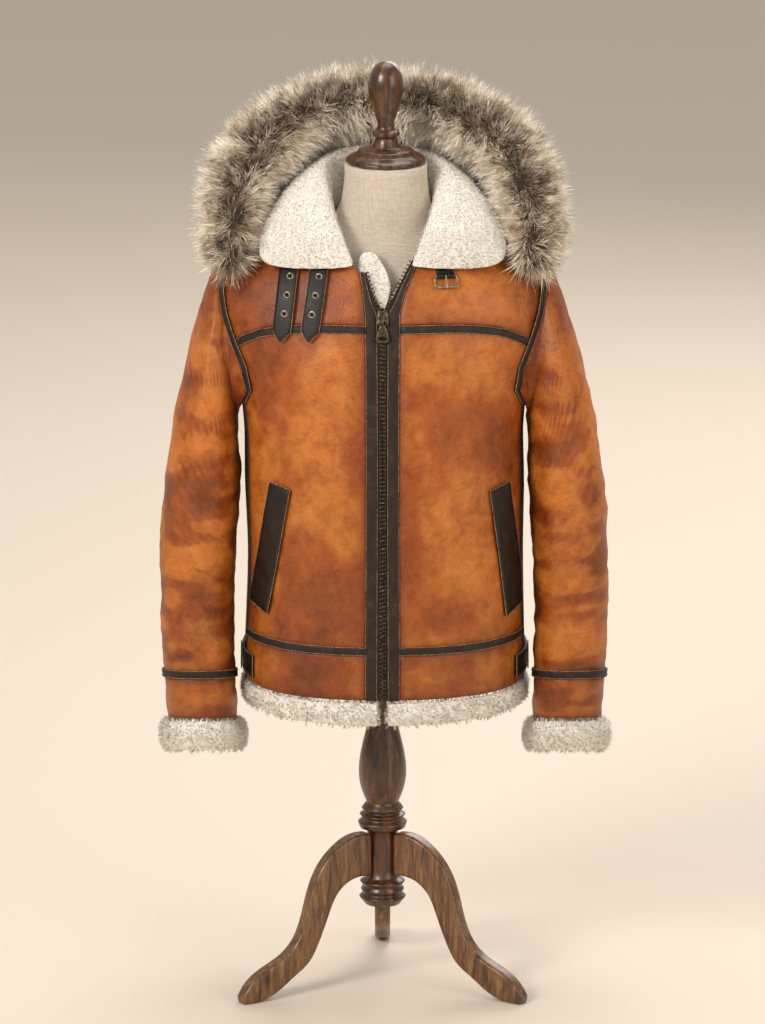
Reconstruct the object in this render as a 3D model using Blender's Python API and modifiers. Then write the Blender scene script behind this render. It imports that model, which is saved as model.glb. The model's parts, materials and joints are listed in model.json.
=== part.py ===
"""Shearling coat with a fur-edged hood, on a limbless dress form with a turned stand.

Tables and sizes are in millimetres; meshes are made in metres. The stand's axis is the line x = y = 0 while
the pieces are made, the front of the coat looks along -Y, and at the end everything is moved so that the
origin is the bottom centre of the whole. Sides are the wearer's: right is -X.
"""
import math

import bmesh
import bpy
import numpy as np
from mathutils import Matrix, Vector

COLLECTION = "shearling_coat_on_dress_form"
MM = 0.001
GAP = 0.3                      # clearance between pieces that meet
SEAM = GAP / 2                 # what each piece gives up at a shared seam
SHEARLING = 6.0                # hide with its sheared wool
LEATHER = 1.5                  # plain leather of trims
LIFT = 0.8                     # trims lie this far above the hide
SIDES = (("right", -1), ("left", 1))

# ---------------------------------------------------------------- sizes of the body
HEM_TOP = 427.0                # where the hide ends and the wool roll starts
HEM_SEAM = 489.0               # seam of the lower band
TRIM_WIDTH = 10.0
UNDERARM_ROWS = 8              # rows of a panel between the hem seam and the underarm
FRONT_COLUMNS = 6
NECK_COLUMNS = 4               # columns across the back of the neck
TURNS = 16                     # points round a sleeve

# The coat's outer face as level rings. square: 2 is an ellipse, more is squarer; skew widens the left side
# and narrows the right.
TORSO_COLUMNS = ("height", "half_width", "front", "back", "square", "skew")
TORSO = np.array([
    (370, 186, 150, 148, 2.35, 3),
    (480, 185, 151, 148, 2.35, 3),
    (600, 182.5, 150, 143, 2.35, 4),
    (700, 186.5, 149, 141, 2.35, 2.5),
    (780, 185.5, 147, 146, 2.30, 1.5),
    (840, 198, 142, 151, 2.25, 1),
    (890, 213, 134, 151, 2.20, 0),
    (925, 221, 125, 145, 2.10, 0),
    (950, 221, 117, 136, 2.05, 0),
    (970, 216, 109, 125, 2.00, 0),
    (985, 207, 101, 115, 2.00, 0),
    (1000, 180, 93, 106, 2.00, 0),
    (1015, 146, 84, 97, 2.00, 0),
    (1030, 112, 75, 89, 2.00, 0),
    (1046, 78, 64, 80, 2.00, 0),
    (1060, 66, 58, 70, 2.00, 0),
])

# Soft folds of the body: angle and height of the middle, half spreads, and rise (negative is a trough).
FOLD_COLUMNS = ("angle", "height", "spread_angle", "spread_height", "rise")
BODY_FOLDS = np.array([
    (48, 790, 9, 90, -4.0),
    (-46, 800, 8, 95, -4.5),
    (30, 620, 12, 70, 2.5),
    (-33, 640, 12, 80, 2.5),
    (62, 640, 8, 60, -2.5),
    (-61, 620, 8, 70, -2.5),
    (128, 760, 9, 100, -4.0),
    (-130, 750, 9, 110, -4.5),
    (160, 640, 10, 120, -3.0),
    (-158, 620, 10, 110, -3.0),
    (180, 700, 9, 150, 3.0),
])

# Half width of the dark side panel below the armhole, in degrees.
SIDE_COLUMNS = ("height", "spread")
SIDE_SEAM = np.array([(HEM_TOP, 10), (HEM_SEAM, 11), (600, 14), (700, 18), (760, 17), (800, 16)])

SIDE_TOP = 740.0               # from here the side panel narrows or widens to the armhole
ARMHOLE_LIFT = 2.3             # the panels are rounder along the armhole
# Armhole: turn runs from the shoulder tip (0) by the front (90) to the underarm (180).
ARMHOLE_COLUMNS = ("turn", "front_spread", "back_spread", "height")
ARMHOLE = np.array([
    (0, 0, 0, 985),
    (22.5, 11, 12, 975),
    (45, 16, 22, 953),
    (90, 24, 32, 889),
    (135, 26, 30, 826),
    (157.5, 16, 18, 804),
    (180, 0, 0, 795),
])

YOKE_SEAM_COLUMNS = ("share", "height")
FRONT_YOKE_SEAM = np.array([(0, 925), (0.35, 924), (0.7, 912), (1, 889)])
BACK_YOKE_SEAM = np.array([(0, 889), (0.25, 902), (0.5, 907), (0.75, 902), (1, 889)])

NECKLINE_COLUMNS = ("angle", "height")
NECKLINE = np.array([(0, 985), (8, 990), (16.5, 1008), (30, 1025), (50, 1037), (75, 1045), (90, 1046),
                     (120, 1046), (180, 1046)])

# Front edges, as distances from the middle: they part above the zip's slider.
EDGE_COLUMNS = ("height", "teeth", "strip")
FRONT_EDGE = {
    "right": np.array([(HEM_TOP, 0.4, 21.8), (919, 0.4, 21.8), (938, 0.6, 22), (955, 8.5, 24), (972, 15, 26),
                       (991, 21, 29)]),
    "left": np.array([(HEM_TOP, 0.4, 21.8), (919, 0.4, 21.8), (938, 0.6, 22), (955, 10, 25), (972, 19, 31),
                      (1006, 39, 47)]),
}
CHEST_HEIGHTS = (840.0, 882.0, 925.0)        # rows of the front edge between the underarm and the yoke
V_HEIGHTS = (940.0, 956.0, 973.0)            # rows of the front edge from the yoke seam to the neckline
TAPE_WIDTH = 7.2

# ---------------------------------------------------------------- sizes of the sleeves
CUFF_SEAM = 584.0
CUFF_END = 640.0
WRIST_END = 687.0
# along is measured down the outer line from the shoulder tip.
SLEEVE_COLUMNS = ("along", "outer_x", "outer_z", "inner_x", "inner_z", "half_depth", "mid_y")
SLEEVE = np.array([
    (30, 224, 970, 189.8, 780, 72, 12),
    (75, 238, 930, 189, 762, 80, 7),
    (120, 250, 886, 188.5, 742, 81, 4),
    (170, 262, 838, 188, 716, 81, 1),
    (220, 273, 789, 188, 688, 78, -3),
    (270, 281, 740, 188.5, 658, 75.5, -7),
    (320, 288, 690, 190, 627, 73, -11),
    (370, 293, 640, 191.5, 595, 71, -15),
    (420, 295.5, 591, 193, 563, 69, -18),
    (470, 296, 541, 193.5, 530, 67, -20),
    (515, 294.5, 496, 193.5, 492, 65, -22),
    (550, 292, 461, 193.5, 460, 63.5, -23),
    (588, 289, 423.5, 193, 423.5, 62, -23.5),
    (640, 285, 371, 191, 371, 60, -24),
    (690, 283, 321, 191, 321, 58, -24),
])
SLEEVE_SQUARE = 2.2
# How much higher a ring's front is than its middle, and how far the left sleeve swings out beyond the right.
# head: how many degrees the points of the upper half gather towards the top, to meet the armhole.
HANG_COLUMNS = ("along", "tilt", "swing", "head")
SLEEVE_HANG = np.array([(0, 0, 0, 16), (60, 0, 2, 9), (150, 0, 4, 0), (300, 1, 5, 0), (420, 5, 4, 0),
                        (520, 10, 5, 0), (590, 13, 6, 0), (WRIST_END, 14, 7, 0)])

# Soft folds of a sleeve: where, how far round (90 is the front), spreads, and rise.
SLEEVE_FOLD_COLUMNS = ("turn", "along", "spread_turn", "spread_along", "rise")
SLEEVE_FOLDS = np.array([
    (75, 395, 60, 16, -4.5),
    (110, 432, 55, 13, -3.5),
    (60, 470, 50, 15, -4.0),
    (120, 505, 55, 14, -3.0),
    (150, 250, 40, 26, -5.0),
    (130, 150, 40, 30, -4.0),
    (265, 380, 60, 20, -4.0),
    (250, 450, 55, 18, -4.0),
    (230, 180, 40, 34, -4.0),
    (20, 60, 35, 22, 1.5),
    (180, 215, 50, 105, 2.6),
])

# ---------------------------------------------------------------- sizes of the collar, hood and fur
WOOL_COLLAR = 14.0
# Where the collar stands on the neckline, its roll, the middle of its fall and its free edge.
COLLAR_COLUMNS = ("neck_angle", "neck_rise", "neck_out", "roll_x", "roll_y", "roll_z",
                  "mid_x", "mid_y", "mid_z", "edge_x", "edge_y", "edge_z")
COLLAR = np.array([
    (14, -5, 7.2, 26, -110, 996, 96, -102, 991, 173, -81, 989),
    (21, -2, 4.9, 44, -86, 1040, 100, -84, 1036, 166, -62, 1032),
    (42, 0, 0.0, 57, -52, 1068, 102, -52, 1066, 150, -36, 1061),
    (78, 0, -2.4, 67, -15, 1094, 98, -18, 1094, 126, -6, 1088),
    (112, 0, -3.4, 73, 25, 1117, 92, 30, 1112, 104, 38, 1092),
    (150, 0, -4.0, 50, 64, 1126, 58, 80, 1117, 63, 90, 1086),
    (180, 0, -4.2, 0, 78, 1127, 0, 95, 1118, 0, 104, 1084),
])
COLLAR_STATIONS = 13           # from one front end round the neck to the other

# Fur ruff round the hood's opening, from its lower end to the top of the arch.
RUFF_COLUMNS = ("share", "x", "y", "z", "radius")
RUFF = np.array([
    (0.00, 204, -76, 977, 14),
    (0.04, 204, -74, 988, 27),
    (0.10, 204, -68, 1006, 35),
    (0.24, 202, -44, 1053, 43),
    (0.42, 184, 6, 1107, 47),
    (0.64, 126, 68, 1154, 49),
    (0.82, 66, 105, 1170, 47),
    (1.00, 0, 122, 1173, 46),
])
RUFF_STATIONS = 29
RUFF_POINTS = 12
LOCKS = 9                      # soft waves of the fur along the ruff
LOCK_RISE = 2.5
HOOD_WALL = 5.0
HOOD_ROWS = 9
HOOD_FOLD = 3.5                # rise of the slouch folds at the back of the hood

# ---------------------------------------------------------------- sizes of the form and its stand
FORM_BASE = 440.0
FORM_TOP = 1116.0
# Room between the coat and the form, and the extra room at the centre front.
EASE_COLUMNS = ("height", "ease", "front_ease")
EASE = np.array([
    (440, 28, 0),
    (520, 26, 0),
    (600, 34, 0),
    (700, 42, 0),
    (780, 36, 4),
    (850, 30, 8),
    (900, 32, 10),
    (930, 30, 12),
    (955, 22, 13),
    (975, 12, 13),
    (985, 9, 14),
    (1000, 9, 14),
    (1015, 10, 11),
    (1030, 10, 7),
    (1046, 7, 3),
])
FORM_NECK_COLUMNS = ("height", "half_width", "front", "back")
FORM_NECK = [(1060, 60, 55, 62), (1075, 57.5, 55, 58), (1095, 54.5, 54.5, 55.5), (FORM_TOP, 54.5, 54.5, 54.5)]
FORM_POINTS = 24
NECK_SHIFT = 4.4               # the neck and its cap stand this far to the left of the coat's middle
TURN_STEPS = 18

# Turned profiles as (radius, height), from top to bottom.
CAP_PROFILE = [
    (0, 1251), (9, 1249.5), (17, 1243), (22.5, 1231), (24.2, 1218), (22.5, 1203), (17, 1186), (11.9, 1173),
    (10.9, 1166), (12.5, 1161), (18.2, 1157), (18.2, 1153), (14.1, 1149.7), (15, 1145), (19.1, 1137),
    (36.5, 1133.5), (38.3, 1131), (40, 1128.5), (50, 1125), (53.8, 1121), (53.8, 1118.5),
    (51, FORM_TOP + GAP), (0, FORM_TOP + GAP)]
PEDESTAL_PROFILE = [
    (0, FORM_BASE - GAP), (17, FORM_BASE - GAP), (17, 385), (19.5, 360), (24.2, 341), (30, 318), (33.3, 293),
    (31, 272), (25, 256), (21.8, 249), (28.4, 240), (23.5, 235.5), (31, 231.5), (27, 227), (33.3, 221),
    (31, 214), (20.9, 210), (20.9, 145), (30.6, 139), (26.5, 133.5), (29.5, 128), (26.5, 123), (31.7, 118),
    (24, 108), (0, 106)]

# Outline of a leg in its own upright plane, as distance from the axis and height.
LEG_TOP = [(21.4, 208), (45, 210), (70, 198), (94, 176), (110, 146), (120, 110), (131, 79), (150, 58),
           (181, 43), (206, 28), (218, 9)]
LEG_SOLE = [(216, 0), (186, 0)]
LEG_UNDER = [(162, 11), (145, 24), (116, 44), (100, 73), (87, 104), (75, 131), (55, 148), (32, 152),
             (21.4, 150)]
LEG_THICKNESS = 21.0
LEG_ROUNDING = 2.5
LEG_AZIMUTHS = {"leg_right": 210.0, "leg_left": 330.0, "leg_back": 90.0}

MATERIALS = {                  # colour, roughness, metallic
    "tan_shearling": ("#BF6B2C", 0.55, 0.0),
    "dark_leather": ("#3B2A26", 0.45, 0.0),
    "cream_wool": ("#EFE6D6", 0.95, 0.0),
    "fur": ("#8C7A66", 0.9, 0.0),
    "zip_tape": ("#2E2622", 0.9, 0.0),
    "antique_brass": ("#8A7450", 0.35, 1.0),
    "linen": ("#C9BBA5", 0.9, 0.0),
    "walnut": ("#5A3420", 0.4, 0.0),
}


# ---------------------------------------------------------------- curves and points
def spline(table, columns, name, at):
    """Smooth value of a table's column where its first column is `at`; held at the ends."""
    xs = table[:, 0]
    ys = table[:, columns.index(name)]
    at = min(max(at, xs[0]), xs[-1])
    i = min(int(np.searchsorted(xs, at, side="right")) - 1, len(xs) - 2)
    slopes = np.gradient(ys, xs) if len(xs) > 2 else np.full(2, (ys[1] - ys[0]) / (xs[1] - xs[0]))
    width = xs[i + 1] - xs[i]
    t = (at - xs[i]) / width
    return ((2 * t ** 3 - 3 * t ** 2 + 1) * ys[i] + (t ** 3 - 2 * t ** 2 + t) * width * slopes[i]
            + (3 * t ** 2 - 2 * t ** 3) * ys[i + 1] + (t ** 3 - t ** 2) * width * slopes[i + 1])


def row_at(table, columns, at):
    """All of a table's columns at one place, by name."""
    return {name: spline(table, columns, name, at) for name in columns}


def unit(vector):
    return vector / np.linalg.norm(vector)


def mix(a, b, share):
    return a + (b - a) * share


def steps(start, end, count):
    """count + 1 even values from start to end."""
    return np.linspace(start, end, count + 1)


def mirrored(points, side):
    """Points made for the left side (+X), or their mirror image for the right."""
    return np.asarray(points, dtype=float) * (side, 1, 1)


def folds(table, columns, place, along):
    """Sum of the soft folds of a table at a place; the first column goes round in degrees."""
    total = 0.0
    for row in table:
        fold = dict(zip(columns, row))
        turn = (place - fold[columns[0]] + 180) % 360 - 180
        shape = (turn / fold[columns[2]]) ** 2 + ((along - fold[columns[1]]) / fold[columns[3]]) ** 2
        total += fold["rise"] * math.exp(-shape)
    return total


# ---------------------------------------------------------------- the coat's face
def torso_face(angle, height):
    """Point of the plain face; angle runs from the centre front (0) by the left side (90) to the back."""
    ring = row_at(TORSO, TORSO_COLUMNS, height)
    s = math.sin(math.radians(angle))
    c = math.cos(math.radians(angle))
    power = 2 / ring["square"]
    reach = ring["front"] if c > 0 else ring["back"]
    x = math.copysign((ring["half_width"] + math.copysign(ring["skew"], s)) * abs(s) ** power, s)
    y = -math.copysign(reach * abs(c) ** power, c)
    return np.array((x, y, height))


def torso_normal(angle, height):
    turn = 0.5
    rise = 2.0
    across = torso_face(angle + turn, height) - torso_face(angle - turn, height)
    up = torso_face(angle, height + rise) - torso_face(angle, height - rise)
    return unit(np.cross(across, up))


def torso(angle, height, out=0.0):
    """Point of the coat at a distance outside its face, with the body's soft folds."""
    return (torso_face(angle, height)
            + torso_normal(angle, height) * (out + folds(BODY_FOLDS, FOLD_COLUMNS, angle, height)))


def angle_at(x, height):
    """Size of the angle at which the front of the face is at x."""
    ring = row_at(TORSO, TORSO_COLUMNS, height)
    half_width = ring["half_width"] + math.copysign(ring["skew"], x)
    return math.degrees(math.asin((abs(x) / half_width) ** (ring["square"] / 2)))


def armhole(k):
    """Angle and height of the armhole's point k of TURNS."""
    turn = 360.0 * k / TURNS
    front = turn <= 180
    place = turn if front else 360 - turn
    spread = spline(ARMHOLE, ARMHOLE_COLUMNS, "front_spread" if front else "back_spread", place)
    height = spline(ARMHOLE, ARMHOLE_COLUMNS, "height", place)
    return 90 - spread if front else 90 + spread, height


def neckline(angle):
    return angle, spline(NECKLINE, NECKLINE_COLUMNS, "height", angle)


def side_seam(front, height):
    """The side panel's edge, from the hem to the armhole."""
    top_angle, top = armhole(TURNS // 2 - 1 if front else TURNS // 2 + 1)
    if height >= top:
        return top_angle, height
    spread = spline(SIDE_SEAM, SIDE_COLUMNS, "spread", height)
    wanted = 90 - spread if front else 90 + spread
    return mix(wanted, top_angle, max(height - SIDE_TOP, 0) / (top - SIDE_TOP)), height


def strip_angle(side_name, height):
    """Angle of the placket strip's outer edge."""
    half_width = spline(FRONT_EDGE[side_name], EDGE_COLUMNS, "strip", height)
    return angle_at(dict(SIDES)[side_name] * half_width, height)


def coons(bottom, top, left, right):
    """Even grid of (angle, height) between four edges, each a list of points; rows go from bottom to top."""
    bottom, top, left, right = (np.array(edge, dtype=float) for edge in (bottom, top, left, right))
    u = steps(0, 1, len(bottom) - 1)[None, :, None]
    v = steps(0, 1, len(left) - 1)[:, None, None]
    corners = ((1 - u) * (1 - v) * bottom[0] + u * (1 - v) * bottom[-1]
               + (1 - u) * v * top[0] + u * v * top[-1])
    return (1 - v) * bottom + v * top + (1 - u) * left[:, None] + u * right[:, None] - corners


# ---------------------------------------------------------------- meshes
def material(name):
    existing = bpy.data.materials.get(name)
    if existing:
        return existing
    colour, roughness, metallic = MATERIALS[name]
    channels = [int(colour[i:i + 2], 16) / 255 for i in (1, 3, 5)]
    linear = [c / 12.92 if c <= 0.04045 else ((c + 0.055) / 1.055) ** 2.4 for c in channels]
    made = bpy.data.materials.new(name)
    made.use_nodes = True
    shader = made.node_tree.nodes["Principled BSDF"]
    shader.inputs["Base Color"].default_value = (*linear, 1.0)
    shader.inputs["Roughness"].default_value = roughness
    shader.inputs["Metallic"].default_value = metallic
    return made


def add_object(name, data, material_name):
    data.materials.append(material(material_name))
    made = bpy.data.objects.new(name, data)
    bpy.data.collections[COLLECTION].objects.link(made)
    return made


def add_mesh(name, points, faces, material_name):
    """Closed body from points in millimetres, its faces turned outwards."""
    mesh = bpy.data.meshes.new(name)
    mesh.from_pydata([Vector(p) * MM for p in points], [], faces)
    shape = bmesh.new()
    shape.from_mesh(mesh)
    bmesh.ops.recalc_face_normals(shape, faces=shape.faces)
    if shape.calc_volume(signed=True) < 0:
        bmesh.ops.reverse_faces(shape, faces=shape.faces)
    shape.to_mesh(mesh)
    shape.free()
    mesh.shade_smooth()
    mesh.set_sharp_from_angle(angle=math.radians(40))
    return add_object(name, mesh, material_name)


def pull_in(grid, edges=("bottom", "top", "left", "right"), distance=SEAM):
    """Grid whose named edges give up the seam's clearance."""
    grid = np.array(grid, dtype=float)
    moved = grid.copy()
    inner = {"bottom": (grid[0], grid[1]), "top": (grid[-1], grid[-2]),
             "left": (grid[:, 0], grid[:, 1]), "right": (grid[:, -1], grid[:, -2])}
    where = {"bottom": (0, slice(None)), "top": (-1, slice(None)),
             "left": (slice(None), 0), "right": (slice(None), -1)}
    for edge in edges:
        rim, beside = inner[edge]
        towards = beside - rim
        moved[where[edge]] += towards / np.linalg.norm(towards, axis=1, keepdims=True) * distance
    return moved


def wall(name, outer, inner, material_name, tube=False):
    """Closed wall between two grids of rows; a tube's rows join end to start."""
    rows, columns = outer.shape[:2]
    points = np.concatenate([outer.reshape(-1, 3), inner.reshape(-1, 3)])
    layer = rows * columns

    def at(row, column, deep=0):
        return deep * layer + row * columns + column % columns

    faces = []
    spans = columns if tube else columns - 1
    for r in range(rows - 1):
        for c in range(spans):
            for deep in (0, 1):
                faces.append((at(r, c, deep), at(r, c + 1, deep), at(r + 1, c + 1, deep), at(r + 1, c, deep)))
    for c in range(spans):
        for r in (0, rows - 1):
            faces.append((at(r, c), at(r, c + 1), at(r, c + 1, 1), at(r, c, 1)))
    if not tube:
        for r in range(rows - 1):
            for c in (0, columns - 1):
                faces.append((at(r, c), at(r + 1, c), at(r + 1, c, 1), at(r, c, 1)))
    return add_mesh(name, points, faces, material_name)


def loft(name, rings, material_name, closed=False):
    """Body through rings of equal count; a closed loft joins its last ring to its first."""
    rings = np.array(rings, dtype=float)
    count, points = rings.shape[:2]
    faces = []
    for r in range(count if closed else count - 1):
        following = (r + 1) % count
        for p in range(points):
            q = (p + 1) % points
            faces.append((r * points + p, r * points + q, following * points + q, following * points + p))
    if not closed:
        faces.append(tuple(range(points)))
        faces.append(tuple(range((count - 1) * points, count * points)))
    return add_mesh(name, rings.reshape(-1, 3), faces, material_name)


def panel(name, cells, side, material_name="tan_shearling", thickness=SHEARLING, raised=0.0, straight=()):
    """Wall on the coat's face over a grid of (angle, height). On the columns named in straight, every second
    point lies on the line between its neighbours, as the sleeve's seam does."""
    def layer(out):
        grid = np.array([[torso(side * angle, height, out) for angle, height in row] for row in cells])
        for column in straight:
            grid[1:-1:2, column] = (grid[:-2:2, column] + grid[2::2, column]) / 2
        return pull_in(grid)

    outer = layer(raised)
    wall(name, outer, layer(-thickness), material_name)
    return outer


def edge_lines(rim, beside, outward):
    """Points, inward aims and normals of a panel's edge; outward gives the side that a normal takes."""
    normals = []
    for point, aim, tangent in zip(rim, beside, np.gradient(rim, axis=0)):
        normal = unit(np.cross(tangent, aim - point))
        normals.append(normal if normal @ outward(point) > 0 else -normal)
    return [list(rim), list(beside), normals]


def from_body(point):
    """Roughly outwards from the body at a point of it."""
    return np.array((point[0], 2 * point[1], 60.0))


def shorten(lines, at_start, at_end, distance):
    """Edge lines drawn back along themselves at either end."""
    points, aims, normals = (list(line) for line in lines)
    for wanted, end, beside in ((at_start, 0, 1), (at_end, -1, -2)):
        if wanted:
            share = distance / np.linalg.norm(points[beside] - points[end])
            points[end] = mix(points[end], points[beside], share)
            aims[end] = mix(aims[end], aims[beside], share)
    return points, aims, normals


def strip(name, lines, closed=False, lift=LIFT):
    """Leather trim along an edge of a panel, made from the panel's own points and moved out."""
    rings = []
    for point, aim, normal in zip(*lines):
        across = unit(aim - point)
        near = point + across * 0.2
        far = point + across * TRIM_WIDTH
        rings.append([near + normal * lift, far + normal * lift,
                      far + normal * (lift + LEATHER), near + normal * (lift + LEATHER)])
    loft(name, rings, "dark_leather", closed)


def turned(name, profile, material_name):
    """Body of revolution about the stand's axis from a (radius, height) profile."""
    mesh = bpy.data.meshes.new(name)
    points = [(r * MM, 0, z * MM) for r, z in profile]
    mesh.from_pydata(points, [(i, i + 1) for i in range(len(profile) - 1)], [])
    made = add_object(name, mesh, material_name)
    screw = made.modifiers.new("Screw", "SCREW")
    screw.steps = screw.render_steps = TURN_STEPS
    screw.use_merge_vertices = True
    screw.merge_threshold = 0.0001
    screw.use_smooth_shade = True
    return made


def flat_plate(name, outlines, thickness, material_name, rounding=0.0):
    """Plate from flat outlines in its own XY plane, thickness along its Z."""
    curve = bpy.data.curves.new(name, "CURVE")
    curve.dimensions = "2D"
    curve.fill_mode = "BOTH"
    curve.extrude = (thickness / 2 - rounding) * MM
    curve.bevel_depth = rounding * MM
    curve.bevel_resolution = 0
    curve.offset = -rounding * MM
    for outline in outlines:
        line = curve.splines.new("POLY")
        line.points.add(len(outline) - 1)
        for point, (x, y) in zip(line.points, outline):
            point.co = (x * MM, y * MM, 0, 1)
        line.use_cyclic_u = True
    return add_object(name, curve, material_name)


def as_mesh(made):
    """The object with its curve or modifiers turned into a plain welded mesh."""
    evaluated = made.evaluated_get(bpy.context.evaluated_depsgraph_get())
    mesh = bpy.data.meshes.new_from_object(evaluated)
    mesh.name = made.name
    shape = bmesh.new()
    shape.from_mesh(mesh)
    bmesh.ops.remove_doubles(shape, verts=shape.verts, dist=1e-6)
    shape.to_mesh(mesh)
    shape.free()
    name = made.name
    place = made.matrix_world.copy()
    bpy.data.objects.remove(made)
    plain = bpy.data.objects.new(name, mesh)
    bpy.data.collections[COLLECTION].objects.link(plain)
    plain.matrix_world = place
    return plain


def circle(radius, points, centre=(0, 0), start=0.0):
    angles = np.radians(start + 360 * np.arange(points) / points)
    return [(centre[0] + radius * math.cos(a), centre[1] + radius * math.sin(a)) for a in angles]


def on_face(angle, height, out):
    """Frame on the coat's face: X across, Y up the face, Z straight out of it."""
    z_axis = Vector(torso_normal(angle, height))
    x_axis = Vector((0, 0, 1)).cross(z_axis).normalized()
    y_axis = z_axis.cross(x_axis)
    frame = Matrix((x_axis, y_axis, z_axis)).transposed().to_4x4()
    frame.translation = Vector(torso(angle, height, out)) * MM
    return frame


# ---------------------------------------------------------------- body
def front_seams(side_name):
    """Shared edges of one front, as lists of (angle, height)."""
    rise = steps(HEM_SEAM, 800, UNDERARM_ROWS)
    arm = TURNS // 4
    armhole_rows = [armhole(k) for k in range(TURNS // 2 - 1, arm - 1, -1)]
    side_heights = steps(HEM_SEAM, armhole_rows[0][1], UNDERARM_ROWS)
    centre_heights = list(rise) + list(CHEST_HEIGHTS)
    neck_height = FRONT_EDGE[side_name][-1][0]
    yoke_start = strip_angle(side_name, 919)
    yoke_end = armhole(arm)[0]
    yoke_seam = [(mix(yoke_start, yoke_end, t), spline(FRONT_YOKE_SEAM, YOKE_SEAM_COLUMNS, "height", t))
                 for t in steps(0, 1, FRONT_COLUMNS)]
    neck_angle = strip_angle(side_name, neck_height)
    return {
        "centre": [(strip_angle(side_name, h), h) for h in centre_heights],
        "side": [side_seam(True, h) for h in side_heights] + armhole_rows[1:],
        "hem": [(mix(strip_angle(side_name, HEM_SEAM), side_seam(True, HEM_SEAM)[0], t), HEM_SEAM)
                for t in steps(0, 1, FRONT_COLUMNS)],
        "yoke": yoke_seam,
        "edge": [(strip_angle(side_name, h), h) for h in (CHEST_HEIGHTS[-1],) + V_HEIGHTS + (neck_height,)],
        "neck": [neckline(mix(neck_angle, 90, t)) for t in (0.2, 0.45, 0.7, 1)],
        "arm": [armhole(k) for k in steps(arm, 0, 2 * arm)],
        "shoulder": [(90.0, h) for h in steps(neckline(90)[1], armhole(0)[1], FRONT_COLUMNS)],
    }


def build_fronts():
    grids = {}
    for side_name, side in SIDES:
        seams = front_seams(side_name)
        body = coons(seams["hem"], seams["yoke"], seams["centre"], seams["side"])
        grids["front", side_name] = panel(f"front_panel_{side_name}", body, side)
        yoke = coons(seams["yoke"], seams["shoulder"], seams["edge"] + seams["neck"], seams["arm"])
        grids["yoke", side_name] = panel(f"front_yoke_{side_name}", yoke, side, straight=(-1,))
        band = [[(mix(strip_angle(side_name, h), side_seam(True, h)[0], t), h)
                 for t in steps(0, 1, FRONT_COLUMNS)] for h in steps(HEM_TOP, HEM_SEAM, 2)]
        grids["band", side_name] = panel(f"front_band_{side_name}", band, side)
        front = grids["front", side_name]
        top = edge_lines(front[-1], front[-2], from_body)
        strip(f"yoke_trim_{side_name}", shorten(top, False, True, TRIM_WIDTH + GAP))
        strip(f"hem_trim_{side_name}", edge_lines(front[0], front[1], from_body))
    return grids


def build_back():
    half = TURNS // 2
    arm = [armhole(k) for k in range(half + 1, 3 * TURNS // 4 + 1)]
    heights = steps(HEM_SEAM, arm[0][1], UNDERARM_ROWS)
    left = [side_seam(False, h) for h in heights] + arm[1:]
    right = [(360 - angle, height) for angle, height in left]
    columns = 2 * FRONT_COLUMNS + NECK_COLUMNS
    hem = [(mix(left[0][0], right[0][0], t), HEM_SEAM) for t in steps(0, 1, columns)]
    seam = [(mix(left[-1][0], right[-1][0], t), spline(BACK_YOKE_SEAM, YOKE_SEAM_COLUMNS, "height", t))
            for t in steps(0, 1, columns)]
    body = coons(hem, seam, left, right)
    back = panel("back_panel", body, 1)
    yoke_left = [armhole(k) for k in range(3 * TURNS // 4, TURNS + 1)]
    yoke_left[-1] = (90.0, armhole(0)[1])
    yoke_right = [(360 - angle, height) for angle, height in yoke_left]
    shoulder = [(90.0, h) for h in steps(armhole(0)[1], neckline(90)[1], FRONT_COLUMNS)]
    nape = [neckline(180 - abs(180 - a)) for a in steps(90, 270, NECK_COLUMNS)]
    nape = [(a, height) for a, (_, height) in zip(steps(90, 270, NECK_COLUMNS), nape)]
    top = shoulder[:-1] + nape + [(270.0, h) for _, h in reversed(shoulder[:-1])]
    yoke = panel("back_yoke", coons(seam, top, yoke_left, yoke_right), 1)
    band = [[(mix(side_seam(False, h)[0], 360 - side_seam(False, h)[0], t), h) for t in steps(0, 1, columns)]
            for h in steps(HEM_TOP, HEM_SEAM, 2)]
    panel("back_band", band, 1)
    top = edge_lines(back[-1], back[-2], from_body)
    strip("yoke_trim_back", shorten(top, True, True, TRIM_WIDTH + GAP))
    strip("hem_trim_back", edge_lines(back[0], back[1], from_body))
    return back, yoke


def build_side_panels():
    half = TURNS // 2
    _, top = armhole(half - 1)
    heights = list(steps(HEM_TOP, HEM_SEAM, 2)) + list(steps(HEM_SEAM, top, UNDERARM_ROWS))[1:]
    front = [side_seam(True, h) for h in heights]
    back = [side_seam(False, h) for h in heights]
    low = [front[0], (90.0, HEM_TOP), back[0]]
    high = [armhole(half - 1), armhole(half), armhole(half + 1)]
    for side_name, side in SIDES:
        panel(f"side_panel_{side_name}", coons(low, high, front, back), side, "dark_leather")


def build_armhole_trims(fronts, back, back_yoke):
    """Strip round each armhole on the body's side of the seam, open under the arm."""
    rows = TURNS // 4
    for side_name, side in SIDES:
        rear, rear_yoke = (back, back_yoke) if side > 0 else (back[:, ::-1], back_yoke[:, ::-1])
        front_low = fronts["front", side_name][-rows:]
        pieces = [
            edge_lines(front_low[:, -1], front_low[:, -2], from_body),
            edge_lines(fronts["yoke", side_name][:, -1], fronts["yoke", side_name][:, -2], from_body),
            edge_lines(rear_yoke[::-1, 0], rear_yoke[::-1, 1], from_body),
            edge_lines(rear[::-1][:rows, 0], rear[::-1][:rows, 1], from_body)]
        points, aims, normals = pieces[0]
        for following in pieces[1:]:
            for line, more in zip((points, aims, normals), following):
                line[-1] = (line[-1] + more[0]) / 2
                line.extend(more[1:])
        strip(f"armhole_trim_{side_name}", (points, aims, [unit(n) for n in normals]), lift=ARMHOLE_LIFT)


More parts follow.
